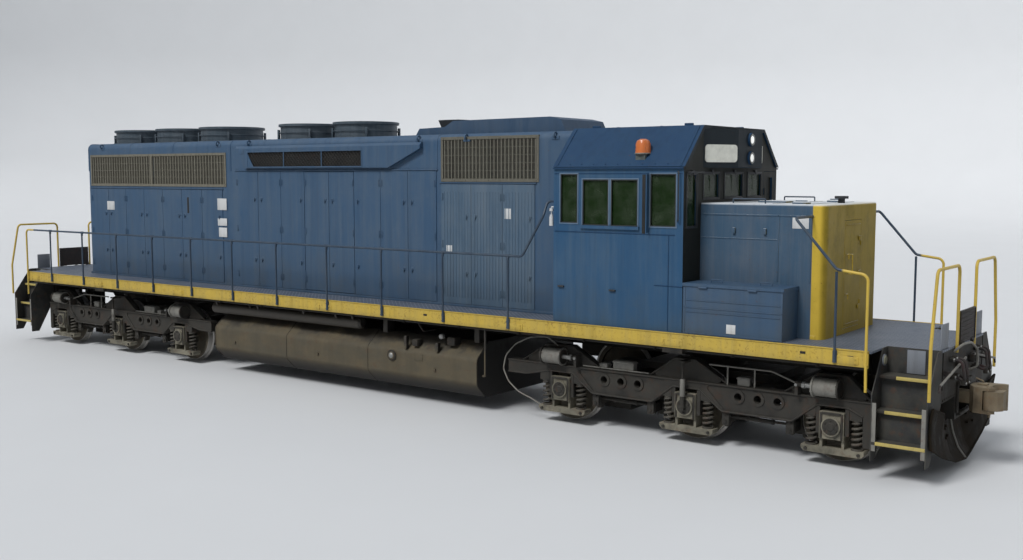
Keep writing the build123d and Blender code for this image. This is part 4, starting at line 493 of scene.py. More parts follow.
def mix_paints(colours):
    """Every finish, by the name of the material slot it stands for."""
    blue, yellow, dust, rust, grime = (
        tuple(c) for c in (colours.body, colours.stripe, colours.dust, colours.rust, colours.grime)
    )
    brown_dust = (0.11, 0.095, 0.072)
    ochre_dust = (0.30, 0.24, 0.085)
    glare_black = ((0.012, 0.013, 0.010), (0.03, 0.03, 0.026))
    teal = ((0.010, 0.016, 0.021), (0.024, 0.030, 0.034))
    faded = ((0.048, 0.092, 0.145), (0.16, 0.185, 0.20))
    weathered("body_paint", blue, dust, rust, low=(1.6, 2.5))
    weathered("door_paint", blue, dust, rust, second=faded, split=faded_split, low=(1.6, 2.5))
    weathered(
        "cab_paint",
        (0.020, 0.070, 0.146),
        (0.088, 0.128, 0.165),
        rust,
        second=glare_black,
        split=forward_split,
        low=(1.6, 2.3),
        mirror=0.22,
    )
    weathered(
        "roof_blue",
        (0.007, 0.036, 0.090),
        (0.026, 0.064, 0.112),
        rust,
        second=teal,
        split=forward_split,
        mirror=0.25,
    )
    weathered("hatch_blue", (0.018, 0.052, 0.105), (0.075, 0.10, 0.13), rust)
    weathered(
        "nose_paint",
        (0.034, 0.078, 0.132),
        (0.150, 0.155, 0.165),
        rust,
        second=(shade(yellow, 1.08), (0.38, 0.28, 0.012)),
        split=nose_split,
        low=(1.6, 2.6),
        chips=0.6,
        # Painted highlight on the nose's top, for the glare on it
        top=(0.62, 0.65, 0.67),
        # Painted shade on the nose's faces that look forward
        front_shade=(0.135, 0.10, 0.002),
        mirror=0.25,
    )
    weathered(
        "sill_paint",
        shade(yellow, 0.92),
        ochre_dust,
        rust,
        chips=0.56,
        streaks=0.5,
        low=(SILL_LOW - 0.01, SILL_LOW + 0.07),
    )
    yellow_coat = (yellow, ochre_dust)
    weathered(
        "rail_paint", shade(blue, 0.42), dust, rust, second=yellow_coat, split=rail_split, chips=0.6, gloss=0.4
    )
    tread_plate("deck_paint", (0.066, 0.088, 0.125), (0.12, 0.135, 0.165))
    cast("frame_grime", shade(grime, 0.5), shade(brown_dust, 0.45), shade(rust, 0.6))
    oil, mud = (0.015, 0.012, 0.009), (0.090, 0.070, 0.038)
    tank_paint("tank_grime", oil, mud, (0.056, 0.050, 0.034), shade(rust, 0.7))
    fitting_paint("roof_fitting", (0.018, 0.020, 0.022), (0.070, 0.085, 0.080), (0.46, 0.10, 0.018))
    cast("brake_pale", (0.15, 0.145, 0.13), (0.24, 0.23, 0.20), shade(rust, 0.8), rough=0.55)
    cast("flange_pale", (0.17, 0.165, 0.15), (0.26, 0.25, 0.22), rust)
    weathered("tread_edge", (0.42, 0.33, 0.09), (0.32, 0.27, 0.12), rust, chips=0.6)
    lit("lens", (0.30, 0.29, 0.20), 0.0)
    lit("headlight", (0.90, 0.90, 0.86), 0.6)
    lit("lamp_glass", (0.62, 0.62, 0.55), 0.1)
    lit("amber", (0.50, 0.125, 0.022), 0.05)
    cast("truck_cast", shade(grime, 0.9), (0.056, 0.051, 0.042), shade(rust, 0.7))
    cast("journal_cast", (0.105, 0.098, 0.074), (0.30, 0.275, 0.21), rust)
    cast("wheel_steel", (0.075, 0.068, 0.052), (0.18, 0.155, 0.11), rust, shine=tread_bands, metal=0.4)
    cast("spring_steel", (0.045, 0.041, 0.034), (0.12, 0.11, 0.09), rust, rough=0.6)
    intake_coat = ((0.098, 0.092, 0.070), (0.15, 0.145, 0.12))
    weathered(
        "grille_paint",
        (0.128, 0.118, 0.088),
        (0.20, 0.19, 0.155),
        rust,
        gloss=0.6,
        second=intake_coat,
        split=intake_split,
    )
    weathered("fan_metal", (0.046, 0.068, 0.088), (0.17, 0.185, 0.20), rust, gloss=0.42, metal=0.3)
    glazing("glass", (0.010, 0.024, 0.006), 0.82)
    # Painted shade: the inside is made near black, for the dim light in the cab
    weathered("interior", (0.020, 0.024, 0.022), (0.045, 0.045, 0.04), rust, gloss=0.6)
    cast("coupler_rust", (0.13, 0.098, 0.060), (0.26, 0.215, 0.145), (0.17, 0.085, 0.035))
    cast(
        "plough_rust",
        (0.009, 0.007, 0.0045),
        (0.022, 0.016, 0.010),
        (0.030, 0.014, 0.006),
        metal=0.0,
        mirror=0.1,
    )
    weathered("panel_grey", (0.15, 0.165, 0.19), (0.24, 0.25, 0.26), rust)
    cast("hose_rubber", (0.014, 0.011, 0.011), (0.05, 0.040, 0.036), (0.075, 0.020, 0.018), metal=0.0)
    weathered("engine_paint", (0.12, 0.13, 0.14), (0.10, 0.09, 0.08), rust)
    cast("step_paint", (0.022, 0.024, 0.026), (0.08, 0.075, 0.06), rust)
    weathered("bright_metal", (0.27, 0.27, 0.26), (0.20, 0.20, 0.18), rust, gloss=0.35, metal=0.6)
    weathered("black_trim", (0.015, 0.017, 0.02), (0.06, 0.06, 0.06), rust)
    cast("mesh_black", (0.012, 0.012, 0.012), (0.04, 0.038, 0.034), shade(rust, 0.4))
    weathered("plate_white", (0.55, 0.56, 0.56), (0.35, 0.34, 0.32), rust, chips=0.66, gloss=0.4)
    weathered("window_frame", (0.075, 0.135, 0.215), (0.18, 0.21, 0.24), rust, gloss=0.4)


# Mesh building


class Model:
    """A mesh under construction, put together from bmesh operator shapes. Every place is turned to the end
    and side that way gives, so that one set of numbers serves them all."""

    def __init__(self):
        self.bm = bmesh.new()
        self.way(1, 1)

    def way(self, end, side):
        """Builds what follows at this end and on this side; both are 1 or -1."""
        self.flip = Vector((end, side, 1))

    def block(self, centre, half, bevel=0.0):
        """A box by its centre and half its size."""
        place = Matrix.Translation(Vector(centre) * self.flip)
        size = Matrix.Diagonal((*(abs(s) * 2 for s in half), 1))
        made = bmesh.ops.create_cube(self.bm, size=1, matrix=place @ size)["verts"]
        if bevel:
            edges = list({e for v in made for e in v.link_edges})
            bmesh.ops.bevel(
                self.bm, geom=edges, offset=bevel, segments=2, profile=0.5, affect="EDGES", material=-1
            )

    def box(self, low, high, bevel=0.0):
        low, high = Vector(low), Vector(high)
        self.block((low + high) / 2, (high - low) / 2, bevel)

    def bar(self, start, end, radius, sides=10):
        start, end = Vector(start) * self.flip, Vector(end) * self.flip
        along = end - start
        turn = along.to_track_quat("Z", "Y").to_matrix().to_4x4()
        bmesh.ops.create_cone(
            self.bm,
            cap_ends=True,
            segments=sides,
            radius1=radius,
            radius2=radius,
            depth=along.length,
            matrix=Matrix.Translation((start + end) / 2) @ turn,
        )

    def rod(self, centre, reach, radius, sides=10):
        """A bar that reaches equally to both sides of its centre."""
        self.bar(Vector(centre) - reach, Vector(centre) + reach, radius, sides)

    def bolts(self, places, outward, radius, tall=0.012):
        for place in places:
            self.bar(place, Vector(place) + outward * tall, radius, 6)

    def plate(self, outline, thick):
        """A flat plate with this outline, as thick as the vector."""
        face = self.bm.faces.new([self.bm.verts.new(Vector(p) * self.flip) for p in outline])
        grown = bmesh.ops.extrude_face_region(self.bm, geom=[face])["geom"]
        corners = [v for v in grown if isinstance(v, bmesh.types.BMVert)]
        bmesh.ops.translate(self.bm, verts=corners, vec=thick * self.flip)

    def turned(self, profile, centre, axis, steps=24):
        """A shape turned about an axis: pairs of radius and height, closed where it starts off the axis."""
        centre, axis = Vector(centre) * self.flip, axis * self.flip
        place = Matrix.Translation(centre) @ axis.to_track_quat("Z", "Y").to_matrix().to_4x4()
        before = len(self.bm.verts)
        verts = [self.bm.verts.new(place @ Vector((r, 0, h))) for r, h in profile]
        pairs = list(zip(verts, verts[1:]))
        if profile[0][0] > 0:
            pairs.append((verts[-1], verts[0]))
        edges = [self.bm.edges.new(pair) for pair in pairs]
        bmesh.ops.spin(
            self.bm, geom=verts + edges, cent=centre, axis=axis, angle=math.tau, steps=steps, use_merge=True
        )
        self.bm.verts.ensure_lookup_table()
        bmesh.ops.remove_doubles(self.bm, verts=self.bm.verts[before:], dist=1e-5)

    def hoop(self, inner, outer, half, chamfer, centre, axis, steps=24):
        """A band round an axis, with its outer edges taken off."""
        edge = half - chamfer
        self.turned([(inner, -half), (outer, -edge), (outer, edge), (inner, half)], centre, axis, steps)

    def pipes(self, runs, radius, bend=0.06, sides=2):
        """Round pipes through points, each corner bent."""
        curve = bpy.data.curves.new("route", "CURVE")
        curve.dimensions = "3D"
        curve.bevel_depth = radius
        curve.bevel_resolution = sides
        curve.resolution_u = 4
        curve.use_fill_caps = True
        for run in runs:
            points = [Vector(p) * self.flip for p in run]
            route = [points[0]]
            for back, corner, ahead in zip(points, points[1:], points[2:]):
                before, after = (
                    corner + (other - corner).normalized() * min(bend, (other - corner).length * 0.45)
                    for other in (back, ahead)
                )
                route += [before, corner, after]
            route.append(points[-1])
            spline = curve.splines.new("NURBS")
            spline.points.add(len(route) - 1)
            for point, place in zip(spline.points, route):
                point.co = (*place, 1)
            spline.order_u = 3
            spline.use_endpoint_u = True
        holder = bpy.data.objects.new("route", curve)
        mesh = bpy.data.meshes.new_from_object(holder)
        self.bm.from_mesh(mesh)
        bpy.data.objects.remove(holder)
        bpy.data.curves.remove(curve)
        bpy.data.meshes.remove(mesh)

    def grab(self, start, end, out, radius, bend=0.03):
        """A grab iron: a bar bent out from its two feet."""
        start, end, out = Vector(start), Vector(end), Vector(out)
        self.pipes([[start, start + out, end + out, end]], radius, bend)

    def done(self, name, paint, body=BODY, slot=None):
        bmesh.ops.recalc_face_normals(self.bm, faces=self.bm.faces)
        mesh = bpy.data.meshes.new(name)
        self.bm.to_mesh(mesh)
        self.bm.free()
        mesh.shade_smooth()
        mesh.set_sharp_from_angle(angle=math.radians(35))
        mesh.materials.append(PAINTS[paint])
        piece = bpy.data.objects.new(name, mesh)
        bpy.context.scene.collection.objects.link(piece)
        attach(piece, body)
        return piece


def both_sides(*models, end=1):
    """Turns the models to one side and then the other; they are left on the left side."""
    for side in SIDES:
        for model in models:
            model.way(end, side)
        yield side


def spaced(start, end, step):
    """Places from start to end, both included, about a step apart."""
    count = max(1, round((end - start) / step))
    return [start + (end - start) * i / count for i in range(count + 1)]


def line(place, along, reach, step):
    """Points along a line, for rows of bolts."""
    return [Vector(place) + along * t for t in spaced(0, reach, step)]


def ring(centre, radius, count, first, second):
    """Places spread evenly round a centre, in the plane of two axes."""
    turns = [math.tau * (i + 0.5) / count for i in range(count)]
    return [Vector(centre) + first * radius * math.cos(t) + second * radius * math.sin(t) for t in turns]


def beam_edge():
    """The lower edge of a truck's side beam: distance outwards from its middle, and height."""
    outer, _, inner = AXLES
    edge = [(BEAM_INNER, ARM_LOW)]
    for axle in reversed(AXLES):
        near, far = (0.64 if axle == inner else 0.54), (0.39 if axle == outer else 0.54)
        edge.append((axle - near, ARM_LOW if axle == inner else BEAM_LOW))
        edge += [(axle - 0.2, ARCH_TOP), (axle + 0.2, ARCH_TOP)]
        edge.append((axle + far, ARM_LOW if axle == outer else BEAM_LOW))
    return edge


class Dresser:
    """What every operator of this add-on shares."""

    bl_options = {"REGISTER", "UNDO"}

    @classmethod
    def poll(cls, context):
        return bool(PAINTS) or cls.bl_idname == "locomotive.finishes"


NODE_PAINTS = {
    "nose_hood": "nose_paint",
    "nose_door": "nose_paint",
    "snow_plough": "plough_rust",
    "step_wells": "step_paint",
    "lamp_housing": "roof_blue",
    "roof_fittings": "roof_fitting",
    "cab_shell": "cab_paint",
    "cab_roof": "roof_blue",
    "roof_hatch": "hatch_blue",
    "cab_door_front_left": "cab_paint",
    "cab_door_rear_right": "cab_paint",
    "hood_doors": "door_paint",
    "journal_boxes_front": "journal_cast",
    "journal_boxes_rear": "journal_cast",
}


class LOCOMOTIVE_OT_finishes(Dresser, bpy.types.Operator):
    """Mix the paints and put them on the solids"""

    bl_idname = "locomotive.finishes"
    bl_label = "Finishes"

    def execute(self, context):
        mix_paints(context.scene.locomotive_colours)
        for name, node in frame["nodes"].items():
            paint = PAINTS[NODE_PAINTS.get(name, SLOTS[name])]
            if node.material_slots:
                for held in node.material_slots:
                    held.material = paint
            else:
                node.data.materials.append(paint)
        return {"FINISHED"}


class LOCOMOTIVE_OT_springs(Dresser, bpy.types.Operator):
    """Coil springs over the journal boxes' wings"""

    bl_idname = "locomotive.springs"
    bl_label = "Coil springs"

    def coil(self, model, centre, radius, gauge, tall):
        """A bar wound upwards from its foot's centre."""
        place = Matrix.Translation(centre + X * radius) @ Matrix.Rotation(math.pi / 2, 4, "X")
        made = bmesh.ops.create_circle(model.bm, cap_ends=True, segments=7, radius=gauge, matrix=place)
        section = made["verts"]
        faces = list({f for v in section for f in v.link_faces})
        edges = list({e for v in section for e in v.link_edges})
        steps = SPRING_TURNS * 14
        bmesh.ops.spin(
            model.bm,
            geom=section + edges + faces,
            cent=centre,
            axis=Z,
            dvec=Z * (tall / steps),
            angle=math.tau * SPRING_TURNS,
            steps=steps,
        )

    def execute(self, context):
        wire = context.scene.locomotive_sizes.wire
        for body, end in TRUCKS:
            node = body.replace("truck", "springs")
            low, high = (corner.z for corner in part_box(node))
            bottom, tall = low + 0.028, high - low - 0.048
            model = Model()
            for axle in AXLES:
                for side in SIDES:
                    for leg in SIDES:
                        foot = Vector((end * TRUCK_X + axle + leg * SPRING_OFFSET, side * SPRING_SIDE, 0))
                        self.coil(model, foot + Z * bottom, SPRING_RADIUS - wire, wire, tall)
                        self.coil(model, foot + Z * bottom, SPRING_INNER, wire * 0.7, tall)
                        for level in (low, high - SPRING_CAP):
                            model.bar(foot + Z * level, foot + Z * (level + SPRING_CAP), SPRING_RADIUS, 20)
            piece = model.done(f"coil_springs_{body[6:]}", "spring_steel", body)
            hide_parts(node)
        return {"FINISHED"}


class LOCOMOTIVE_OT_door_hardware(Dresser, bpy.types.Operator):
    """Hinges and latches on the engine-room doors"""

    bl_idname = "locomotive.door_hardware"
    bl_label = "Door hardware"

    def leaf(self, model, start, top, hinge_first):
        """Butt hinges on one edge and latches by the other."""
        near, far = start, start + LEAF
        edge, latch = (near + 0.03, far - 0.09) if hinge_first else (far - 0.03, near + 0.09)
        for level in (DOOR_LOW + 0.2, (DOOR_LOW + top) / 2, top - 0.2):
            model.block((edge, DOOR_FACE + 0.0025, level), (0.024, 0.0025, 0.05), 0.002)
            model.rod((edge, DOOR_FACE + 0.007, level), Z * 0.055, 0.008, 8)
        knob = [(0, 0.012), (0.026, 0.012), (0.034, 0.004), (0.034, -0.002), (0, -0.002)]
        for level in (DOOR_LOW + 0.5, top - 0.5):
            model.turned(knob, (latch, DOOR_FACE, level), Y, 14)
            model.block((latch, DOOR_FACE + 0.016, level - 0.0175), (0.009, 0.008, 0.0375), 0.004)

    def execute(self, context):
        model = Model()
        for start, count, top, opened in DOOR_ROWS:
            for index in range(count):
                if index not in opened:
                    for _ in both_sides(model):
                        self.leaf(model, start + index * LEAF, top, index % 2 == 0)
        model.done("door_hardware", "door_paint", slot="body_paint")
        start, _, top, opened = DOOR_ROWS[0]
        for index, name in zip(opened, ("rear", "front")):
            for side, hand in zip(SIDES, ("right", "left")):
                model = Model()
                model.way(1, side)
                self.leaf(model, start + index * LEAF, top, index == opened[0])
                model.done(f"door_hardware_{hand}_{name}", "body_paint", f"engine_door_{hand}_{name}")
        return {"FINISHED"}


class LOCOMOTIVE_OT_hood_trim(Dresser, bpy.types.Operator):
    """Cover strips, drip rails, lifting eyes and bolts on the hood"""

    bl_idname = "locomotive.hood_trim"
    bl_label = "Hood trim"

    def band(self, model, place, width, thick, drop=0.45):
        """A strip over the roof and both shoulders, down the sides by drop."""
        corner = HOOD_TOP - HOOD_CORNER
        reach = HOOD_SIDE - HOOD_CORNER
        outline = [(HOOD_SIDE, corner - drop)]
        for step in range(7):
            angle = math.radians(15 * step)
            outline.append((reach + HOOD_CORNER * math.cos(angle), corner + HOOD_CORNER * math.sin(angle)))
        outline += [(-y, z) for y, z in reversed(outline)]
        outer = []
        for y, z in outline:
            away = Vector((math.copysign(1, y), 0))
            if z > corner - 0.01:
                away = Vector((y - max(-reach, min(reach, y)), z - min(z, corner))).normalized()
            outer.append((y + away.x * thick, z + away.y * thick))
        model.plate([(place, y, z) for y, z in outline + outer[::-1]], X * width)

    def execute(self, context):
        thick = context.scene.locomotive_sizes.seam
        bolt = context.scene.locomotive_sizes.bolt * 0.6
        model = Model()
        for place in (-7.82, -3.165, 1.965, 4.62):
            self.band(model, place, 0.03, thick)
        for place in (-6.35, -4.92):
            self.band(model, place, 0.03, thick, 0.08)
        for low, high in ((-3.0, 1.0), (4.1, 4.6)):
            for place in spaced(low, high, 0.8)[1:-1]:
                self.band(model, place, 0.012, thick * 0.5)
        for _ in both_sides(model):
            for start, count, top, _ in DOOR_ROWS:
                head = (start + count * LEAF + 0.03, HOOD_SIDE + 0.022, top + 0.03)
                model.box((start - 0.03, HOOD_SIDE, top + 0.012), head, 0.004)
                model.bolts(line((start, HOOD_SIDE, top + 0.05), X, count * LEAF, 0.31), Y, bolt, 0.006)
            for place in (-7.3, -3.5, -2.6, 1.6, 2.6, 4.3):
                eye = Vector((place, HOOD_SIDE - 0.02, HOOD_TOP - 0.10))
                model.block(eye, (0.07, 0.03, 0.03), 0.012)
                model.hoop(0.028, 0.05, 0.012, 0, eye + Vector((0, 0.03, 0.04)), X, 16)
            model.box((HOOD_REAR, HOOD_SIDE, DECK), (HOOD_FRONT, HOOD_SIDE + 0.01, DECK + 0.042), 0.003)
        model.done("hood_trim", "body_paint")
        return {"FINISHED"}


class LOCOMOTIVE_OT_grilles(Dresser, bpy.types.Operator):
    """Fine fins, wires and bolts in the side grilles, and the lattice of the brake hatch"""

    bl_idname = "locomotive.grilles"
    bl_label = "Grilles"

    def fins(self, fins, bolts, bolt, low_x, high_x, low_z, high_z, pitch):
        """One grille's upright fins, its level wires and the bolts of its frame."""
        for place in spaced(low_x + 0.06, high_x - 0.06, pitch):
            foot = (place - 0.0025, HOOD_SIDE - 0.026, low_z + 0.04)
            fins.box(foot, (place + 0.0025, HOOD_SIDE - 0.004, high_z - 0.04))
        wire = HOOD_SIDE - 0.006
        for level in spaced(low_z + 0.05, high_z - 0.05, 0.13):
            fins.bar((low_x + 0.04, wire, level), (high_x - 0.04, wire, level), 0.004, 5)
        face = HOOD_SIDE + 0.01
        for level in (low_z + 0.022, high_z - 0.022):
            bolts.bolts(line((low_x + 0.05, face, level), X, high_x - low_x - 0.1, 0.24), Y, bolt, 0.006)
        for place in (low_x + 0.022, high_x - 0.022):
            bolts.bolts(line((place, face, low_z + 0.05), Z, high_z - low_z - 0.1, 0.2), Y, bolt, 0.006)

    def lattice(self, mesh, low_x, high_x, low_z, high_z):
        """Crossed bars over the opening, cut off at its ends, in front of a dark sheet of painted shade that
        fills the opening.
        """
        tall = high_z - low_z
        face = BLISTER_SIDE - 0.012
        for foot, head in ((high_z, low_z), (low_z, high_z)):
            for place in spaced(low_x - tall, high_x, 0.075):
                start = max(0.0, (low_x - place) / tall)
                stop = min(1.0, (high_x - place) / tall)
                if stop - start > 0.05:
                    ends = [(place + tall * t, face, foot + (head - foot) * t) for t in (start, stop)]
                    mesh.bar(*ends, 0.006, 5)
        # Painted shade: a dark sheet behind the bars stands for the dark inside the hatch
        mesh.box((low_x, BLISTER_SIDE - 0.044, low_z), (high_x, BLISTER_SIDE - 0.038, high_z))

    def execute(self, context):
        bolt = context.scene.locomotive_sizes.bolt * 0.6
        fins, bolts, mesh, strips = Model(), Model(), Model(), Model()
        low_x, high_x, low_z, high_z = BRAKE_MESH
        inner, outer = BLISTER_SIDE - 0.002, BLISTER_SIDE + 0.008
        for _ in both_sides(fins, bolts, mesh, strips):
            for grille in GRILLES:
                self.fins(fins, bolts, bolt, *grille)
            self.lattice(mesh, *BRAKE_MESH)
            for level in (low_z - 0.02, high_z):
                strips.box((low_x - 0.02, inner, level), (high_x + 0.02, outer, level + 0.02), 0.002)
            for place in (low_x - 0.02, *spaced(low_x, high_x, 1.05)[1:-1], high_x):
                strips.box((place, inner, low_z), (place + 0.02, outer, high_z), 0.002)
            strips.bolts(line((low_x, BLISTER_SIDE, high_z + 0.045), X, high_x - low_x, 0.3), Y, bolt, 0.006)
        fins.done("grille_fins", "grille_paint")
        bolts.done("grille_bolts", "grille_paint")
        mesh.done("brake_lattice", "mesh_black")
        strips.done("brake_hatch_frame", "body_paint")
        return {"FINISHED"}


class LOCOMOTIVE_OT_fan_guards(Dresser, bpy.types.Operator):
    """Wire rings, rims and bolts on the five fan shrouds"""

    bl_idname = "locomotive.fan_guards"
    bl_label = "Fan guards"

    def execute(self, context):
        bolt = context.scene.locomotive_sizes.bolt * 0.7
        model = Model()
        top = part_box("fan_shrouds")[1].z
        flange = HOOD_TOP + 0.008
        for place, radius in FANS:
            centre = X * place
            for reach in spaced(0.12, radius - 0.05, 0.07):
                model.hoop(reach - 0.004, reach + 0.004, 0.004, 0, centre + Z * (top - 0.008), Z, 40)
            rim = radius + 0.024
            model.hoop(rim, rim + 0.014, 0.025, 0.005, centre + Z * (top - 0.025), Z, 56)
            foot = [(rim, HOOD_TOP), (rim + 0.05, HOOD_TOP), (rim + 0.05, flange), (rim, HOOD_TOP + 0.02)]
            model.turned(foot, centre, Z, 56)
            model.hoop(rim, rim + 0.006, 0.01, 0.005, centre + Z * (top - 0.16), Z, 56)
            for step in range(16):
                spoke = Vector((math.cos(math.tau * step / 16), math.sin(math.tau * step / 16), 0))
                model.bolts([centre + spoke * (rim + 0.032) + Z * flange], Z, bolt, 0.01)
                if step % 4 == 2:
                    model.block(centre + spoke * (rim + 0.01) + Z * (HOOD_TOP + 0.1), (0.02, 0.02, 0.09), 0.006)
        model.done("fan_guards", "fan_metal")
        return {"FINISHED"}


class LOCOMOTIVE_OT_cab_trim(Dresser, bpy.types.Operator):
    """Window frames, gutters, roof seams, wipers and cab hardware"""

    bl_idname = "locomotive.cab_trim"
    bl_label = "Cab trim"

    def surround(self, model, face, outward, across, window, wide, proud, inset=0.0):
        """Four strips round a window, in the plane of across and the vertical."""
        left, right, low, high = window
        left, right, low, high = left + inset, right - inset, low + inset, high - inset
        for start, stop in (
            ((left - wide, low - wide), (right + wide, low)),
            ((left - wide, high), (right + wide, high + wide)),
            ((left - wide, low), (left, high)),
            ((right, low), (right + wide, high)),
        ):
            inner, outer = (
                across * a + Z * z + outward * (face + out) for (a, z), out in ((start, -0.004), (stop, proud))
            )
            model.box(inner, outer, 0.003)

    def windows(self):
        frames, rubber = Model(), Model()
        for _ in both_sides(frames, rubber):
            for window in SIDE_WINDOWS:
                self.surround(frames, CAB_SIDE, Y, X, window, 0.017, 0.008)
                self.surround(rubber, CAB_SIDE, Y, X, window, 0.014, 0.005, 0.014)
        for window in FRONT_WINDOWS:
            self.surround(rubber, CAB_FRONT, X, Y, window, 0.022, 0.010)
            self.surround(rubber, CAB_FRONT, X, Y, window, 0.014, 0.005, 0.014)
        frames.done("cab_window_frames", "window_frame", slot="body_paint")
        rubber.done("cab_window_rubber", "black_trim", slot="hose_rubber")

    def roof(self, bolt):
        """Gutters, the roof's seams and lifting lugs, and the strips on the walls."""
        model = Model()
        outward = Vector((0, CAB_TOP - EAVE, ROOF_EAVE - ROOF_SHOULDER)).normalized()
        gutter = ROOF_EAVE + 0.004
        outer = CAB_SIDE + 0.006
        for place in (5.4, 6.1):
            model.box((place, -ROOF_SHOULDER, CAB_TOP - 0.004), (place + 0.022, ROOF_SHOULDER, CAB_TOP + 0.004))
        for _ in both_sides(model):
            ends = (CAB_REAR + 0.01, CAB_FRONT + 0.01)
            model.pipes([[(x, gutter, EAVE - 0.02) for x in ends]], 0.011, sides=3)
            for place in (4.72, 6.70):
                foot = Vector((place, ROOF_EAVE - 0.012, EAVE + 0.012))
                head = Vector((place, ROOF_SHOULDER + 0.02, CAB_TOP - 0.016))
                model.plate([foot, head, head + outward * 0.006, foot + outward * 0.006], X * 0.022)
            row = [(x, ROOF_EAVE - 0.03, EAVE + 0.036) for x in spaced(4.75, 6.7, 0.19)]
            model.bolts(row, outward, bolt, 0.006)
            for place in (4.95, 6.45):
                model.block((place, 0.8, CAB_TOP + 0.018), (0.07, 0.012, 0.022), 0.01)
            for low_x, high_x, low, high in (
                (CAB_REAR + 0.02, CAB_FRONT - 0.12, CAB_BELT, CAB_BELT + 0.014),
                (6.53, 6.542, DECK + 0.02, CAB_BELT),
                (6.32, CAB_FRONT, RAIL + 2.185, RAIL + 2.197),
                (CAB_REAR + 0.02, CAB_FRONT - 0.02, EAVE - 0.10, EAVE - 0.088),
            ):
                model.box((low_x, CAB_SIDE, low), (high_x, outer, high), 0.002)
        model.done("cab_roof_trim", "roof_blue", slot="body_paint")

    def hardware(self):
        """Grab irons, wipers and sill catches."""
        model = Model()
        for _ in both_sides(model):
            model.grab((6.66, CAB_SIDE, 3.75), (6.66, CAB_SIDE, 3.10), (0.04, 0.05, 0), 0.009)
            for x, z in ((5.67, RAIL + 2.08), (4.81, RAIL + 2.09)):
                model.block((x, CAB_SIDE + 0.015, z), (0.05, 0.015, 0.012), 0.006)
        model.grab((CAB_FRONT, -1.42, 3.74), (CAB_FRONT, -1.02, 3.74), (0.06, 0, 0), 0.011)
        for low_y, high_y, _, top in FRONT_WINDOWS:
            middle = (low_y + high_y) / 2
            model.block((CAB_FRONT + 0.013, middle, top + 0.03), (0.013, 0.03, 0.018), 0.005)
            tip = Vector((CAB_FRONT + 0.020, middle + 0.08, top - 0.12))
            model.bar((CAB_FRONT + 0.012, middle, top + 0.03), tip, 0.004, 6)
            model.bar(tip - Z * 0.12, tip + Z * 0.10, 0.005, 6)
        model.done("cab_hardware", "black_trim", slot="frame_grime")

    def lamps(self):
        """Lamps on the cab's rear edges, the warning lamp and the headlights."""
        lamp = Model()
        for _ in both_sides(lamp):
            spot = Vector((CAB_REAR - 0.05, CAB_SIDE - 0.02, RAIL))
            for low, high, radius in ((2.95, 3.08, 0.032), (3.08, 3.11, 0.024), (3.16, 3.20, 0.03)):
                lamp.bar(spot + Z * low, spot + Z * high, radius, 16)
            lamp.pipes([[spot + X * 0.05 + Z * 3.22, spot + Z * 3.22, spot + Z * 3.10]], 0.009, 0.02)
        lamp.done("cab_side_lamps", "plate_white", slot="rail_paint")
        base, dome = Model(), Model()
        base.turned([(0.108, 0.0), (0.116, 0.006), (0.116, 0.016), (0.108, 0.022)], BEACON - Z * 0.10, Z, 28)
        base.done("beacon_base_ring", "brake_pale", slot="frame_grime")
        profile = [(0, 0.196), (0.045, 0.192), (0.083, 0.172), (0.102, 0.13), (0.106, 0.02), (0.110, 0), (0, 0)]
        dome.turned(profile, BEACON - Z * 0.085, Z, 32)
        dome.done("beacon_dome", "amber", slot="lamp_glass")
        lenses, rims = Model(), Model()
        lens = [(0, 0.005), (0.03, 0.004), (0.052, 0.0), (0.052, -0.002), (0, -0.002)]
        rim = [(0.054, -0.001), (0.078, -0.001), (0.078, 0.006), (0.070, 0.006)]
        for z in HEADLIGHTS:
            for x, along in ((7.028, X), (HOOD_REAR - 0.028, -X)):
                lenses.turned(lens, (x, 0, z), along, 20)
                rims.turned(rim, (x, 0, z), along, 28)
        lenses.done("headlight_lenses", "headlight", slot="lamp_glass")
        rims.done("headlight_rims", "bright_metal", slot="lamp_glass")

    def execute(self, context):
        self.windows()
        self.roof(context.scene.locomotive_sizes.bolt * 0.6)
        self.hardware()
        self.lamps()
        return {"FINISHED"}


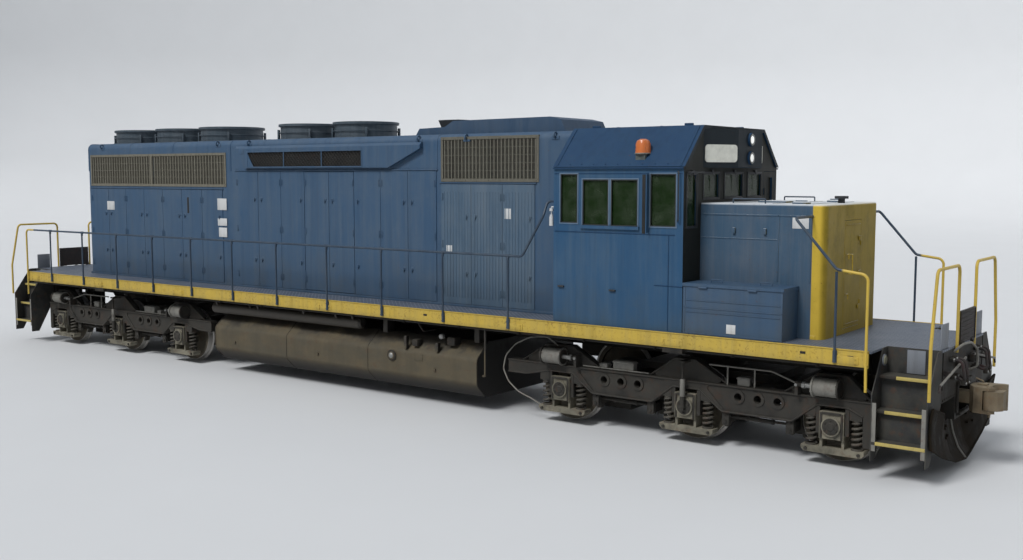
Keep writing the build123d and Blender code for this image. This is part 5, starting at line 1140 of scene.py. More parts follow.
class LOCOMOTIVE_OT_nose_trim(Dresser, bpy.types.Operator):
    """Seams, grab rail, door hardware and hatches on the low hood"""

    bl_idname = "locomotive.nose_trim"
    bl_label = "Nose trim"

    def seams(self, bolt, thick):
        model = Model()
        outer = NOSE_SIDE + thick
        start = CAB_FRONT + 0.02
        for side in both_sides(model):
            for low_x, high_x, low, high in (
                (7.86, 7.88, 2.32, NOSE_TOP - 0.13),
                (8.30, 8.32, 2.32, NOSE_TOP - 0.13),
                (start, 8.36, NOSE_TOP - 0.16, NOSE_TOP - 0.14),
                (start, 7.86, RAIL + 2.83, RAIL + 2.842),
                (8.33, 8.40, DECK, DECK + 0.05),
            ):
                model.box((low_x, NOSE_SIDE, low), (high_x, outer, high), 0.002)
            # The right side's blocks start as far out as the strips' faces
            inner = NOSE_SIDE if side > 0 else outer
            for place in (7.25, 7.69):
                head = (place + 0.02, NOSE_SIDE + 0.03, RAIL + 2.98)
                model.box((place - 0.02, inner, RAIL + 2.90), head, 0.006)
            model.bolts(line((CAB_FRONT + 0.08, outer, NOSE_TOP - 0.15), X, 1.5, 0.15), Y, bolt, 0.006)
            hatch = Vector((8.02, 0.62, NOSE_TOP))
            model.turned([(0, 0.03), (0.10, 0.03), (0.12, 0.018), (0.12, -0.003), (0, -0.003)], hatch, Z, 24)
            model.rod(hatch + Z * 0.038, X * 0.08, 0.008, 8)
        edge = NOSE_SIDE - 0.14
        for place in (7.16, 7.72, 8.18):
            model.box((place, -edge, NOSE_TOP - 0.003), (place + 0.02, edge, NOSE_TOP + 0.004))
        model.box((7.26, -0.28, NOSE_TOP - 0.002), (7.66, 0.28, NOSE_TOP + 0.022), 0.008)
        for y in (-0.2, 0.2):
            model.rod((7.25, y, NOSE_TOP + 0.014), Y * 0.03, 0.012, 8)
        model.bar((7.66, -0.04, NOSE_TOP + 0.014), (7.72, -0.04, NOSE_TOP + 0.014), 0.008, 8)
        model.done("nose_seams", "nose_paint", slot="body_paint")
        rail = Model()
        for _ in both_sides(rail):
            low = NOSE_TOP - 0.012
            rail.grab((7.16, 0.86, low), (7.62, 0.86, low), (0, 0, 0.072), 0.010)
        rail.done("nose_grab_rails", "rail_paint")

    def door(self):
        """Hinges, latches, a grab iron and two strips on the nose door."""
        model = Model()
        low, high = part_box("nose_door")
        face, latch = high.x, low.y + 0.07
        for level in spaced(low.z + 0.25, high.z - 0.25, 0.5):
            model.block((face + 0.001, high.y - 0.055, level), (0.005, 0.045, 0.03), 0.003)
        for level in (low.z + 0.45, high.z - 0.45):
            model.bar((face, latch, level), (face + 0.03, latch, level), 0.012)
            model.rod((face + 0.024, latch, level - 0.02), Z * 0.04, 0.008, 8)
        grip = Vector((face - 0.002, low.y + 0.14, low.z + 0.72))
        model.grab(grip, grip + Z * 0.26, (0.052, 0, 0), 0.008)
        for level in (low.z + 0.05, high.z - 0.06):
            model.box((face - 0.003, low.y + 0.05, level), (face + 0.004, high.y - 0.05, level + 0.01), 0.002)
        model.done("nose_door_hardware", "nose_paint", "nose_door", "body_paint")

    def execute(self, context):
        sizes = context.scene.locomotive_sizes
        self.seams(sizes.bolt * 0.6, sizes.seam)
        self.door()
        return {"FINISHED"}


class LOCOMOTIVE_OT_battery_trim(Dresser, bpy.types.Operator):
    """Lids' hinges, grab irons, grooves and edges on the battery boxes"""

    bl_idname = "locomotive.battery_trim"
    bl_label = "Battery boxes"

    def execute(self, context):
        bolt = context.scene.locomotive_sizes.bolt * 0.6
        model = Model()
        outer = BATTERY_SIDE + 0.008
        rear, front = CAB_FRONT + 0.02, BATTERY_FRONT
        for _ in both_sides(model):
            for low_x, high_x, low, high in (
                (rear, front, RAIL + 1.92, RAIL + 1.934),
                (rear, front, DECK + 0.002, DECK + 0.03),
                (rear + 0.03, front - 0.03, RAIL + 1.865, RAIL + 1.877),
                (rear + 0.03, front - 0.03, RAIL + 2.02, RAIL + 2.032),
                (rear, rear + 0.02, DECK + 0.03, BATTERY_TOP - 0.06),
                (front - 0.02, front, DECK + 0.03, BATTERY_TOP - 0.06),
            ):
                model.box((low_x, BATTERY_SIDE, low), (high_x, outer, high), 0.003)
            model.bolts(line((CAB_FRONT + 0.1, outer, DECK + 0.016), X, 1.25, 0.125), Y, bolt, 0.005)
            for place in (7.05, 7.75):
                model.rod((place, BATTERY_SIDE + 0.018, BATTERY_TOP - 0.05), X * 0.06, 0.011)
                foot = Vector((place, 1.25, BATTERY_TOP - 0.004))
                model.grab(foot, foot + X * 0.16, (0, 0, 0.044), 0.007, 0.02)
        model.done("battery_box_trim", "body_paint")
        return {"FINISHED"}


class LOCOMOTIVE_OT_sill_trim(Dresser, bpy.types.Operator):
    """Rivets, lifting pockets, hooks and pipes along the side sills"""

    bl_idname = "locomotive.sill_trim"
    bl_label = "Sills and pipes"

    def execute(self, context):
        bolt = context.scene.locomotive_sizes.bolt
        plates, pipes, clamps = Model(), Model(), Model()
        proud = SILL_SIDE + 0.008
        for _ in both_sides(plates, pipes, clamps):
            plates.bolts(line((-9.2, SILL_SIDE, DECK - 0.05), X, 18.4, 0.4), Y, bolt * 0.6, 0.006)
            for place in (-9.0, -6.63, -4.0, 0.0, 4.0, 6.63, 9.0):
                plates.block((place, SILL_SIDE + 0.004, SILL_LOW + 0.07), (0.16, 0.004, 0.05), 0.004)
                corners = [(place + x, proud, SILL_LOW + z) for x in (-0.12, 0.12) for z in (0.045, 0.095)]
                plates.bolts(corners, Y, bolt, 0.01)
            plates.box((-9.28, SILL_SIDE - 0.03, DECK - 0.006), (9.28, SILL_SIDE + 0.010, DECK + 0.004), 0.002)
            for y, drop, radius in ((1.44, 0.03, 0.024), (1.37, 0.01, 0.016), (1.30, 0.035, 0.020)):
                pipes.pipes([[(-9.2, y, SILL_LOW - drop), (9.2, y, SILL_LOW - drop)]], radius)
            for place in spaced(-8.6, 8.6, 1.15):
                clamps.box((place, 1.26, SILL_LOW - 0.058), (place + 0.04, 1.49, SILL_LOW - 0.050), 0.002)
                for y in (1.26, 1.48):
                    clamps.bar((place + 0.02, y, SILL_LOW - 0.054), (place + 0.02, y, DECK_UNDER), 0.007, 6)
            for place in (-2.2, 1.9):
                branch = [(place, 1.44, SILL_LOW - 0.03), (place + 0.1, 1.44, SILL_LOW - 0.03)]
                branch += [(place + 0.1, 1.30, SILL_LOW - 0.20), (place + 0.1, 1.0, SILL_LOW - 0.20)]
                pipes.pipes([branch], 0.014)
        plates.done("sill_plates", "sill_paint")
        pipes.done("sill_pipes", "frame_grime")
        clamps.done("pipe_clamps", "frame_grime")
        return {"FINISHED"}


class LOCOMOTIVE_OT_trucks(Dresser, bpy.types.Operator):
    """Cast rims, covers, brake cylinders, clevises, boxes and pipes on the trucks. Places along a truck are
    counted outwards from its middle"""

    bl_idname = "locomotive.trucks"
    bl_label = "Trucks"

    def castings(self, model):
        """Rims along the side frame and round its webs, and the journal boxes' ribs and covers."""
        face = FRAME_OUTER + 0.002
        top = BEAM_TOP - 0.013
        edge = [(TRUCK_X + u, face, z + 0.014) for u, z in beam_edge()]
        model.pipes([edge, [(TRUCK_X + u, face, top) for u in (BEAM_INNER, BEAM_OUTER)]], 0.013, 0.05)
        heights = (BEAM_TOP, HUMP_TOP - 0.014, HUMP_TOP - 0.014, BEAM_TOP)
        for hump in HUMPS:
            model.pipes([[(TRUCK_X + u, WEB_FACE + 0.002, z) for u, z in zip(hump, heights)]], 0.014, 0.04)
        lid = [(0, 0.012), (0.046, 0.012), (0.058, 0.003), (0.106, 0.003), (0.112, -0.004), (0, -0.004)]
        for axle in AXLES:
            x = TRUCK_X + axle
            cover = Vector((x, JOURNAL_FACE, AXLE_Z))
            model.turned(lid, cover, Y, 24)
            model.bolts(ring(cover, 0.085, 6, X, Z), Y, 0.012, 0.015)
            for leg in SIDES:
                model.block((x + leg * 0.135, BOX_FACE + 0.006, RAIL + 0.5125), (0.014, 0.010, 0.1675), 0.005)
                model.bolts([(x + leg * 0.345, 1.124, RAIL + 0.182)], Y, 0.022, 0.02)
            model.block((x, BOX_FACE + 0.008, RAIL + 0.674), (0.12, 0.012, 0.014), 0.006)

    def cylinders(self, pale, dark, bright):
        """Pale barrels with faint ribs, flanged ends and bright rods."""

        def spot(outwards):
            return Vector((TRUCK_X + outwards, CYLINDER_Y, CYLINDER_Z))

        for lever, near, far in CYLINDERS:
            away = math.copysign(1, far - near)
            pale.hoop(0.112, 0.1165, abs(far - near) / 2, 0.01, spot((near + far) / 2), X, 32)
            for step in range(3):
                pale.hoop(0.116, 0.1185, 0.012, 0.006, spot(near + away * (0.08 + 0.085 * step)), X, 32)
            for place, model in ((near, pale), (far, dark)):
                model.hoop(0.110, 0.134, 0.014, 0.004, spot(place), X, 28)
                model.bolts([p - X * 0.018 for p in ring(spot(place), 0.124, 8, Y, Z)], X, 0.008, 0.036)
            bright.bar(spot(lever + away * 0.06), spot(near), 0.033, 14)
            bright.bar(spot(lever + away * 0.05), spot(lever + away * 0.09), 0.045, 6)
            pin = spot(lever - away * 0.02)
            bright.bar(pin + Y * 0.028, pin + Y * 0.05, 0.02)

    def brakes(self, model, pale):
        """Clevises and pins on the brake heads, turnbuckles on the pull rods, and the damper's tube."""
        for place in BRAKE_HEADS:
            x = TRUCK_X + place
            for y in (1.014, 1.066):
                model.box((x - 0.055, y, RAIL + 0.31), (x + 0.055, y + 0.016, RAIL + 0.515), 0.012)
            for z in (RAIL + 0.36, RAIL + 0.47):
                model.bar((x, 1.0, z), (x, 1.095, z), 0.017, 12)
                model.bar((x, 1.082, z), (x, 1.09, z), 0.026, 6)
        for middle in (1.035, -1.035):
            for offset, half, radius in ((0, 0.16, 0.03), (-0.18, 0.02, 0.036), (0.18, 0.02, 0.036)):
                model.rod((TRUCK_X + middle + offset, 0.98, RAIL + 0.42), X * half, radius, 8)
        damper = Vector((TRUCK_X, DAMPER_Y, RAIL))
        pale.hoop(0.030, 0.037, 0.13, 0.01, damper + Z * 0.77, Z, 20)
        for low, high, radius in ((0.50, 0.53, 0.04), (0.62, 0.66, 0.037)):
            model.bar(damper + Z * low, damper + Z * high, radius, 20)

    def pipes(self, model, looped):
        """Air pipes above the beam, sanding pipes by the end wheels, and the loop round the inner end."""
        level = BEAM_TOP + 0.25
        runs = [
            [(0.34, 1.10, level), (1.24, 1.10, level), (1.62, 1.14, level - 0.12)],
            [(0.61, 1.10, level), (0.61, 1.10, BEAM_TOP)],
            [(1.0, 1.10, level), (1.0, 1.10, BEAM_TOP)],
            [(-0.6, 1.09, BEAM_TOP + 0.02), (-1.7, 1.09, BEAM_TOP + 0.02)],
            [
                (2.54, 0.96, BEAM_TOP - 0.04),
                (2.625, 0.80, BEAM_TOP - 0.12),
                (2.625, 0.75, RAIL + 0.42),
                (2.49, 0.75, RAIL + 0.10),
            ],
        ]
        model.pipes([[(TRUCK_X + u, y, z) for u, y, z in run] for run in runs], 0.012, 0.08)
        for low, high, tall in ((-1.20, -0.86, 0.15), (-1.42, -1.30, 0.09), (0.74, 0.92, 0.12)):
            low, high, top = TRUCK_X + low, TRUCK_X + high, BEAM_TOP + tall
            model.box((low, 0.96, BEAM_TOP), (high, 1.08, top), 0.012)
            model.box((low - 0.008, 0.955, top - 0.03), (high + 0.008, 1.088, top - 0.014), 0.004)
        if looped:
            loop = (
                (-2.15, 1.09, 1.145),
                (-2.32, 1.13, 1.27),
                (-2.62, 1.15, 1.24),
                (-2.90, 1.15, 1.11),
                (-3.08, 1.15, 0.92),
                (-3.13, 1.15, 0.71),
                (-3.03, 1.15, 0.52),
                (-2.84, 1.15, 0.38),
                (-2.60, 1.14, 0.30),
                (-2.42, 1.10, 0.20),
            )
            model.pipes([[(TRUCK_X + u, y, RAIL + z) for u, y, z in loop]], 0.011, 0.3)

    def execute(self, context):
        for body, end in TRUCKS:
            frames, pale, bright, pipes, gear = models = [Model() for _ in range(5)]
            for _ in both_sides(*models, end=end):
                self.castings(frames)
                self.cylinders(pale, gear, bright)
                self.brakes(gear, pale)
                self.pipes(pipes, end > 0)
            name = body[6:]
            frames.done(f"truck_castings_{name}", "truck_cast", body)
            pale.done(f"brake_cylinders_{name}", "brake_pale", body, "truck_cast")
            bright.done(f"brake_rods_{name}", "bright_metal", body, "wheel_steel")
            gear.done(f"brake_clevises_{name}", "truck_cast", body)
            pipes.done(f"truck_pipes_{name}", "brake_pale", body, "truck_cast")
        return {"FINISHED"}


class LOCOMOTIVE_OT_tank(Dresser, bpy.types.Operator):
    """Weld seams, filler, gauge, vents and drains on the fuel tank, bands on the reservoirs"""

    bl_idname = "locomotive.tank"
    bl_label = "Fuel tank"

    def execute(self, context):
        bolt = context.scene.locomotive_sizes.bolt
        model, dark, bright = Model(), Model(), Model()
        low, high = (corner.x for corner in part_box("fuel_tank"))
        shelf = sum(corner.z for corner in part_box("air_reservoirs")) / 2
        section = ((1.06, RAIL + 1.08), (TANK_SIDE, RAIL + 0.83), (TANK_SIDE, RAIL + 0.42))
        section += ((1.12, TANK_LOW + 0.004),)
        for _ in both_sides(model, dark, bright):
            seams = [[(x, y, z) for y, z in section] for x in (low + 0.012, -1.2, 0.8, high - 0.012)]
            model.pipes(seams, 0.009, 0.11)
            model.box((1.85, TANK_SIDE, RAIL + 0.69), (2.02, TANK_SIDE + 0.006, RAIL + 0.80), 0.003)
            model.bolts([(x, TANK_SIDE, RAIL + 0.58) for x in (-2.6, -0.4, 2.28)], Y, bolt * 2, 0.02)
            gauge = Vector((1.36, TANK_SIDE + 0.004, RAIL + 0.73))
            dark.turned([(0.064, 0), (0.092, 0.004), (0.092, 0.016), (0.066, 0.026)], gauge, Y, 28)
            profile = [(0, 0.024), (0.030, 0.020), (0.046, 0.006), (0.046, -0.002), (0, -0.002)]
            bright.turned(profile, (1.36, 1.38, RAIL + 0.73), Y, 24)
            profile = [(0, 0.02), (0.030, 0.016), (0.044, 0.002), (0.044, -0.05), (0, -0.05)]
            bright.turned(profile, (2.37, 1.30, RAIL + 1.12), Y, 20)
            model.bar((2.37, 1.10, RAIL + 1.05), (2.37, 1.28, RAIL + 1.12), 0.03, 12)
            dark.box((2.48, 1.12, RAIL + 0.99), (2.64, 1.29, RAIL + 1.12), 0.02)
            dark.box((1.78, 1.20, RAIL + 0.92), (1.90, 1.34, RAIL + 1.03), 0.02)
            model.box((1.63, 1.30, RAIL + 0.86), (1.69, 1.37, RAIL + 1.08), 0.014)
            model.box((2.29, 1.28, RAIL + 0.87), (2.35, 1.36, RAIL + 1.02), 0.014)
            drain = [(3.38, 1.45, SILL_LOW + 0.02), (3.38, 1.45, RAIL + 0.62), (high - 0.01, 1.2, RAIL + 0.55)]
            model.pipes([drain], 0.018, 0.08)
            for x in (-3.05, -1.05, 1.05, 3.0):
                model.box((x - 0.05, 1.0, RAIL + 1.06), (x + 0.05, 1.18, SILL_LOW - 0.05), 0.01)
            for x in (-3.05, -1.9, -0.7, 0.1, 0.5):
                model.hoop(0.098, 0.106, 0.02, 0.002, (x, 1.30, shelf), X, 24)
            dark.pipes([[(0.64, 1.30, shelf), (0.80, 1.30, shelf), (0.80, 1.30, SILL_LOW)]], 0.014, 0.05)
        model.done("tank_fittings", "tank_grime")
        dark.done("tank_dark_fittings", "frame_grime")
        bright.done("tank_caps", "bright_metal", slot="tank_grime")
        return {"FINISHED"}


class LOCOMOTIVE_OT_end_trim(Dresser, bpy.types.Operator):
    """Tread edges, step lamps, panels, receptacles, hose fittings and the coupler's carrier"""

    bl_idname = "locomotive.end_trim"
    bl_label = "Ends"

    def steps(self, edges, steps, flanges):
        """Worn yellow edges on the treads, their bare lengths, and the step wells' flanges."""
        near, far = WELL_START + 0.014, END_FACE - 0.014
        for (outer, _, top), worn in zip(TREADS, (0.045, 0.11, 0.20)):
            edges.box((near + worn, outer - 0.012, top - 0.036), (far, outer + 0.008, top + 0.005), 0.003)
            steps.box((near, outer - 0.012, top - 0.034), (near + worn, outer + 0.006, top + 0.004), 0.003)
        for x, low, high in ((WELL_START + 0.002, 0.36, 0.95), (END_FACE - 0.064, 0.33, 0.94)):
            flanges.box((x, 1.488, RAIL + low), (x + 0.06, 1.494, RAIL + high), 0.002)
        lever = END_FACE + 0.075
        flanges.bar((lever, 1.285, RAIL + 1.20), (lever, 0.19, RAIL + 1.398), 0.0155, 12)

    def panels(self, lamps, plates):
        lamp = Vector((WELL_START + 0.012, 1.10, RAIL + 1.42))
        lamps.turned([(0, 0.03), (0.05, 0.026), (0.062, 0.006), (0.066, 0), (0, 0)], lamp, X, 24)
        plates.hoop(0.063, 0.072, 0.008, 0, lamp + X * 0.008, X, 24)
        plates.box((9.56, WELL_INNER + 0.012, RAIL + 1.26), (9.78, WELL_INNER + 0.024, RAIL + 1.55), 0.004)
        plates.box((9.935, 0.64, DECK), (9.95, 0.94, DECK + 0.31), 0.004)

    def sockets(self, fittings, bright, bolt):
        """Hose couplings with a painted glint on each glad hand, the cable socket and the draft pocket's bolts.
        """
        for hose in HOSES:
            for y, z in ((hose, HOSE_TOP), (hose - 0.09, HOSE_TOP - 0.23)):
                start = Vector((END_FACE - 0.004, y, z))
                fittings.bar(start, start + X * 0.05, 0.032, 6)
                bright.bar(start + X * 0.055, start + X * 0.07, 0.022, 12)
            low = Vector((END_FACE + 0.165, hose - 0.045, HOSE_TOP - 0.285))
            fittings.bar(low - Z * 0.025, low + Z * 0.035, 0.03, 12)
            # Painted highlight: a small bright disc on the glad hand stands for a glint
            bright.bar(low + X * 0.028, low + X * 0.036, 0.016, 12)
        face = Vector((END_FACE + 0.07, 0.30, RAIL + 1.33))
        fittings.block(face - X * 0.035, (0.035, 0.07, 0.05), 0.012)
        fittings.turned([(0, 0.02), (0.04, 0.016), (0.05, 0), (0, -0.002)], face, X, 20)
        fittings.bolts(line((END_FACE, 0.34, RAIL + 0.95), Y, 0.54, 0.09), X, bolt, 0.01)
        fittings.box((END_FACE, 0.255, RAIL + 0.70), (END_FACE + 0.03, 0.30, RAIL + 1.06), 0.008)

    def middle(self, fittings, steps):
        """The coupler's carrier and striker, and the treads of the folded drop step."""
        fittings.box((END_FACE, -0.30, RAIL + 1.05), (END_FACE + 0.05, 0.30, RAIL + 1.10), 0.012)
        fittings.box((END_FACE - 0.01, -0.24, RAIL + 0.665), (END_FACE + 0.05, 0.24, RAIL + 0.70), 0.01)
        sheet = END_FACE + 0.034
        for level in spaced(DECK + 0.05, DECK + 0.38, 0.055):
            steps.box((sheet, -0.32, level - 0.007), (sheet + 0.006, 0.32, level + 0.007), 0.002)
        for y in (-0.35, 0.34):
            steps.box((sheet, y, DECK + 0.015), (sheet + 0.012, y + 0.012, DECK + 0.415), 0.003)
        steps.box((sheet, -0.35, DECK + 0.405), (sheet + 0.012, 0.352, DECK + 0.418), 0.003)
        for y in (-0.24, 0.24):
            steps.rod((END_FACE + 0.04, y, DECK + 0.014), Y * 0.06, 0.013)

    def execute(self, context):
        bolt = context.scene.locomotive_sizes.bolt
        models = [Model() for _ in range(8)]
        edges, lamps, plates, fittings, bright, steps, flanges, cables = models
        cable = ((0.0, -0.47, 1.50), (0.10, -0.42, 1.60), (0.14, -0.20, 1.60), (0.15, 0.02, 1.50))
        cable += ((0.15, 0.10, 1.34), (0.14, 0.10, 1.25), (0.06, 0.09, 1.21), (0.0, 0.09, 1.20))
        for end in SIDES:
            for _ in both_sides(*models, end=end):
                self.steps(edges, steps, flanges)
                self.panels(lamps, plates)
                self.sockets(fittings, bright, bolt)
            self.middle(fittings, steps)
            cables.way(end, end)
            cables.pipes([[(END_FACE + x, y, RAIL + z) for x, y, z in cable]], 0.015, 0.3, 3)
        edges.done("tread_edges", "tread_edge", slot="sill_paint")
        steps.done("drop_step_treads", "truck_cast", slot="hose_rubber")
        flanges.done("step_flanges", "flange_pale", slot="frame_grime")
        cables.done("end_cables", "brake_pale", slot="hose_rubber")
        lamps.done("step_lamps", "lens", slot="lamp_glass")
        plates.done("end_panels", "panel_grey", slot="deck_paint")
        fittings.done("end_fittings", "frame_grime")
        bright.done("hose_collars_and_glints", "bright_metal", slot="frame_grime")
        return {"FINISHED"}


class LOCOMOTIVE_OT_plough_trim(Dresser, bpy.types.Operator):
    """Ridge with a painted highlight, edges and bolts of the snow plough"""

    bl_idname = "locomotive.plough_trim"
    bl_label = "Snow plough"

    def execute(self, context):
        bolt = context.scene.locomotive_sizes.bolt * 1.3
        ridge_highlight, edges = Model(), Model()
        # Painted highlight: a round bar along the plough's ridge is pale for the light on its edge
        nose = ((9.834, 0.585), (9.872, 0.39), (9.944, 0.2), (10.05, 0.066))
        ridge_highlight.pipes([[(x, 0, RAIL + z) for x, z in nose]], 0.016, 0.1)
        lower = ((10.046, 0, 0.072), (10.018, 0.36, 0.097), (10.016, 0.90, 0.252), (10.012, 1.44, 0.462))
        upper = ((9.832, 0, 0.588), (9.852, 0.36, 0.588), (10.002, 0.90, 0.796), (10.022, 1.44, 0.944))
        tip = ((10.022, 1.44, 0.944), (10.001, 1.44, 0.8), (9.998, 1.44, 0.62), (10.012, 1.44, 0.462))
        for _ in both_sides(edges):
            for runs, bend in (((lower, upper), 0.1), ((tip,), 0.08)):
                edges.pipes([[(x, y, RAIL + z) for x, y, z in run] for run in runs], 0.013, bend)
            for y, x_high, x_low in ((0.47, 9.895, 9.915), (0.62, 9.925, 9.94)):
                edges.bolts([(x_high, y, RAIL + 0.56), (x_low, y, RAIL + 0.44)], X, bolt, 0.03)
            edges.box((9.62, 0.40, RAIL + 0.66), (9.83, 0.42, RAIL + 0.76), 0.01)
        ridge_highlight.done("plough_ridge_highlight", "brake_pale", slot="coupler_rust")
        edges.done("plough_edges", "plough_rust", slot="coupler_rust")
        return {"FINISHED"}


class LOCOMOTIVE_OT_couplers(Dresser, bpy.types.Operator):
    """Pins, ribs and lock lifters on the couplers"""

    bl_idname = "locomotive.couplers"
    bl_label = "Couplers"

    def execute(self, context):
        low, high = RAIL + 0.711, RAIL + 1.041
        for end, name in ((1, "front"), (-1, "rear")):
            head = Model()
            head.way(end, end)
            pin = Vector((10.33, -0.14, 0))
            head.turned([(0, 0.03), (0.028, 0.024), (0.04, 0), (0, -0.002)], pin + Z * high, Z, 16)
            head.bar(pin + Z * (low - 0.05), pin + Z * low, 0.02, 12)
            head.box((10.16, -0.05, high - 0.002), (10.28, 0.05, high + 0.025), 0.01)
            lifter = [(10.22, 0, high + 0.02), (10.22, 0, high + 0.05), (10.13, 0, high + 0.08)]
            head.pipes([lifter], 0.010, 0.02)
            for z in (low + 0.05, high - 0.05):
                head.box((10.10, 0.115, z - 0.012), (10.42, 0.235, z + 0.012), 0.008)
            head.done(f"coupler_fittings_{name}", "coupler_rust", f"coupler_{name}")
        return {"FINISHED"}


class LOCOMOTIVE_OT_rail_trim(Dresser, bpy.types.Operator):
    """Sleeves and foot bolts on the handrails, and the yellow posts' lower ends"""

    bl_idname = "locomotive.rail_trim"
    bl_label = "Handrail fittings"

    def execute(self, context):
        bolt = context.scene.locomotive_sizes.bolt * 0.7
        model = Model()
        neck = [(0.015, -0.06), (0.021, -0.055), (0.021, -0.01), (0.015, 0)]
        # The sleeves lie inboard, so that none stands further out than the rail
        sleeve_y, neck_y = RAIL_SIDE - 0.0062, RAIL_SIDE - 0.0032
        for side in both_sides(model):
            for x in STANCHIONS:
                model.hoop(0.017, 0.024, 0.045, 0.005, (x, sleeve_y, RAIL_Z), X, 16)
                model.turned(neck, (x, neck_y, RAIL_Z - 0.012), Z, 16)
                feet = [(x + dx, RAIL_SIDE, SILL_LOW + z) for dx in (-0.014, 0.014) for z in (0.05, 0.14)]
                model.bolts(feet, Y, bolt)
            for end in SIDES:
                model.way(end, side)
                model.pipes([[(9.255, RAIL_SIDE, SILL_LOW + 0.05), (9.262, RAIL_SIDE, RAIL + 1.08)]], 0.018)
                foot = (9.245, SILL_SIDE - 0.02, SILL_LOW - 0.012)
                model.box(foot, (9.275, RAIL_SIDE, SILL_LOW + 0.01), 0.004)
        model.done("rail_fittings", "rail_paint")
        return {"FINISHED"}


class LOCOMOTIVE_OT_plates(Dresser, bpy.types.Operator):
    """Blank plates, painted shade in the exhaust's mouth and in slots, and the ribs of the faded doors"""

    bl_idname = "locomotive.plates"
    bl_label = "Blank plates"

    def execute(self, context):
        white, dark, ribs, pale = models = [Model() for _ in range(4)]
        # Plates: middle along the hood, middle's height, width, height, the wall they are on, thickness
        plates = (
            (-7.04, 3.04, 0.26, 0.18, DOOR_FACE, 0.003),
            (-3.41, 3.12, 0.27, 0.22, DOOR_FACE, 0.003),
            (-3.41, 2.78, 0.27, 0.14, DOOR_FACE, 0.003),
            (-3.40, 2.585, 0.24, 0.18, DOOR_FACE, 0.003),
            (3.42, 3.08, 0.12, 0.16, DOOR_FACE, 0.003),
            (2.24, 2.50, 0.12, 0.10, DOOR_FACE, 0.003),
            (0.64, 3.88, 0.14, 0.10, HOOD_SIDE, 0.004),
            (7.455, 1.68, 0.13, 0.12, BATTERY_SIDE, 0.004),
            (8.17, 3.06, 0.22, 0.14, NOSE_SIDE, 0.004),
        )
        # Dark slots of painted shade: the same, on the doors, by the cab's windows (a shadow) and on the sills
        shade_marks = [(-4.445, 3.085, 0.05, 0.31, DOOR_FACE, 0.004), (6.15, 3.28, 0.05, 0.80, CAB_SIDE, 0.004)]
        shade_marks += [(x, 1.485, 0.07, 0.03, SILL_SIDE, 0.005) for x in (2.26, 3.87, 8.46, 9.06)]
        start, count, top, _ = DOOR_ROWS[2]
        for _ in both_sides(*models):
            for model, rows in ((white, plates), (dark, shade_marks)):
                for x, z, wide, tall, face, thick in rows:
                    model.block((x, face + thick / 2, RAIL + z), (wide / 2, thick / 2, tall / 2), 0.001)
            pale.box((-2.80, HOOD_SIDE + 0.02, RAIL + 4.06), (-2.66, BLISTER_SIDE + 0.004, RAIL + 4.16), 0.004)
            corner = ((-2.57, 4.085), (-2.40, 3.825), (-2.57, 3.825))
            pale.plate([(x, BLISTER_SIDE - 0.004, RAIL + z) for x, z in corner], Y * 0.008)
            for index in range(count):
                first = start + index * LEAF + 0.07
                for x in spaced(first, first + LEAF - 0.14, 0.06):
                    foot = (x - 0.006, DOOR_FACE - 0.002, DOOR_LOW + 0.1)
                    ribs.box(foot, (x + 0.006, DOOR_FACE + 0.005, top - 0.12), 0.002)
        stack_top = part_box("roof_fittings")[1].z
        # Painted shade: a dark sheet in the exhaust stack's mouth
        dark.block((1.6, 0, stack_top - 0.0015), (0.225, 0.165, 0.0025), 0.0005)
        white.done("blank_plates", "plate_white", slot="rail_paint")
        dark.done("painted_shade_marks", "mesh_black", slot="frame_grime")
        ribs.done("faded_door_ribs", "door_paint", slot="body_paint")
        pale.done("hatch_end_plates", "body_paint")
        return {"FINISHED"}


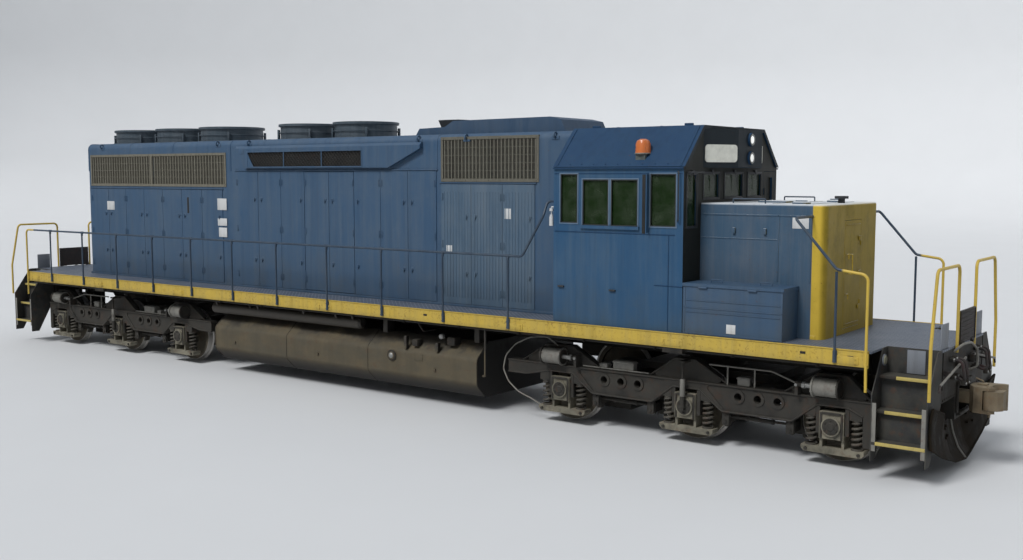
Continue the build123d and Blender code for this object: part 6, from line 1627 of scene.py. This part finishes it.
class LOCOMOTIVE_OT_stage(Dresser, bpy.types.Operator):
    """Pale floor, soft lights and the camera"""

    bl_idname = "locomotive.stage"
    bl_label = "Stage"

    def floor(self, scene):
        """A round floor that rises to a backdrop, its faces turned upwards."""
        floor = Model()
        floor.turned([(0, 0), (60, 0), (70, 1.2), (76, 5), (80, 14), (80, 40)], (0, 0, 0), Z, 64)
        paint = Paint("floor")
        colour = paint.mix((0.60, 0.61, 0.62), (0.63, 0.64, 0.65), paint.noise(0.4, 3))
        paint.finish(Base_Color=colour, Roughness=0.85)
        mesh = bpy.data.meshes.new("floor")
        bmesh.ops.recalc_face_normals(floor.bm, faces=floor.bm.faces)
        bmesh.ops.reverse_faces(floor.bm, faces=floor.bm.faces)
        floor.bm.to_mesh(mesh)
        floor.bm.free()
        mesh.shade_smooth()
        mesh.materials.append(PAINTS["floor"])
        ground = bpy.data.objects.new("floor", mesh)
        scene.collection.objects.link(ground)

    def place(self, scene, name, data, aim):
        """An object that looks along aim."""
        holder = bpy.data.objects.new(name, data)
        holder.rotation_mode = "QUATERNION"
        holder.rotation_quaternion = Vector(aim).to_track_quat("-Z", "Y")
        scene.collection.objects.link(holder)
        return holder

    def execute(self, context):
        scene = context.scene
        self.floor(scene)
        world = bpy.data.worlds.new("studio")
        world.use_nodes = True
        background = world.node_tree.nodes["Background"]
        background.inputs["Color"].default_value = (0.86, 0.90, 0.96, 1)
        background.inputs["Strength"].default_value = 0.52
        scene.world = world
        for name, energy, angle, aim in (
            ("key_light", 2.45, 18, (0.10, 0.72, -0.80)),
            ("fill_light", 0.2, 40, (-0.8, -0.5, -0.5)),
        ):
            lamp = bpy.data.lights.new(name, "SUN")
            lamp.energy = energy
            lamp.angle = math.radians(angle)
            self.place(scene, name, lamp, aim)
        camera = bpy.data.cameras.new("camera")
        camera.sensor_width = 36
        camera.lens = 38.83
        camera.clip_end = 500
        yaw, pitch = math.radians(126.7045), math.radians(-5.4242)
        aim = (math.cos(pitch) * math.cos(yaw), math.cos(pitch) * math.sin(yaw), math.sin(pitch))
        scene.camera = self.place(scene, "camera", camera, aim)
        scene.camera.location = (13.6557, -14.5625, 3.6729 + RAIL)
        scene.view_settings.view_transform = "Standard"
        return {"FINISHED"}


class LOCOMOTIVE_PT_panel(bpy.types.Panel):
    """The locomotive's pieces, colours and sizes"""

    bl_idname = "LOCOMOTIVE_PT_panel"
    bl_label = "Locomotive"
    bl_space_type = "VIEW_3D"
    bl_region_type = "UI"
    bl_category = "Locomotive"

    def draw(self, context):
        for group in (context.scene.locomotive_colours, context.scene.locomotive_sizes):
            for key in group.__annotations__:
                self.layout.prop(group, key)
        for operator in OPERATORS:
            self.layout.operator(operator.bl_idname)


OPERATORS = (
    LOCOMOTIVE_OT_finishes,
    LOCOMOTIVE_OT_springs,
    LOCOMOTIVE_OT_door_hardware,
    LOCOMOTIVE_OT_hood_trim,
    LOCOMOTIVE_OT_grilles,
    LOCOMOTIVE_OT_fan_guards,
    LOCOMOTIVE_OT_cab_trim,
    LOCOMOTIVE_OT_nose_trim,
    LOCOMOTIVE_OT_battery_trim,
    LOCOMOTIVE_OT_sill_trim,
    LOCOMOTIVE_OT_trucks,
    LOCOMOTIVE_OT_tank,
    LOCOMOTIVE_OT_end_trim,
    LOCOMOTIVE_OT_plough_trim,
    LOCOMOTIVE_OT_couplers,
    LOCOMOTIVE_OT_rail_trim,
    LOCOMOTIVE_OT_plates,
    LOCOMOTIVE_OT_stage,
)
CLASSES = (LocomotiveColours, LocomotiveSizes, *OPERATORS, LOCOMOTIVE_PT_panel)


def register():
    for made in CLASSES:
        bpy.utils.register_class(made)
    bpy.types.Scene.locomotive_colours = bpy.props.PointerProperty(type=LocomotiveColours)
    bpy.types.Scene.locomotive_sizes = bpy.props.PointerProperty(type=LocomotiveSizes)


def unregister():
    del bpy.types.Scene.locomotive_sizes
    del bpy.types.Scene.locomotive_colours
    for made in reversed(CLASSES):
        bpy.utils.unregister_class(made)


def main():
    register()
    for operator in OPERATORS:
        group, name = operator.bl_idname.split(".")
        getattr(getattr(bpy.ops, group), name)()


if __name__ == "__main__":
    main()
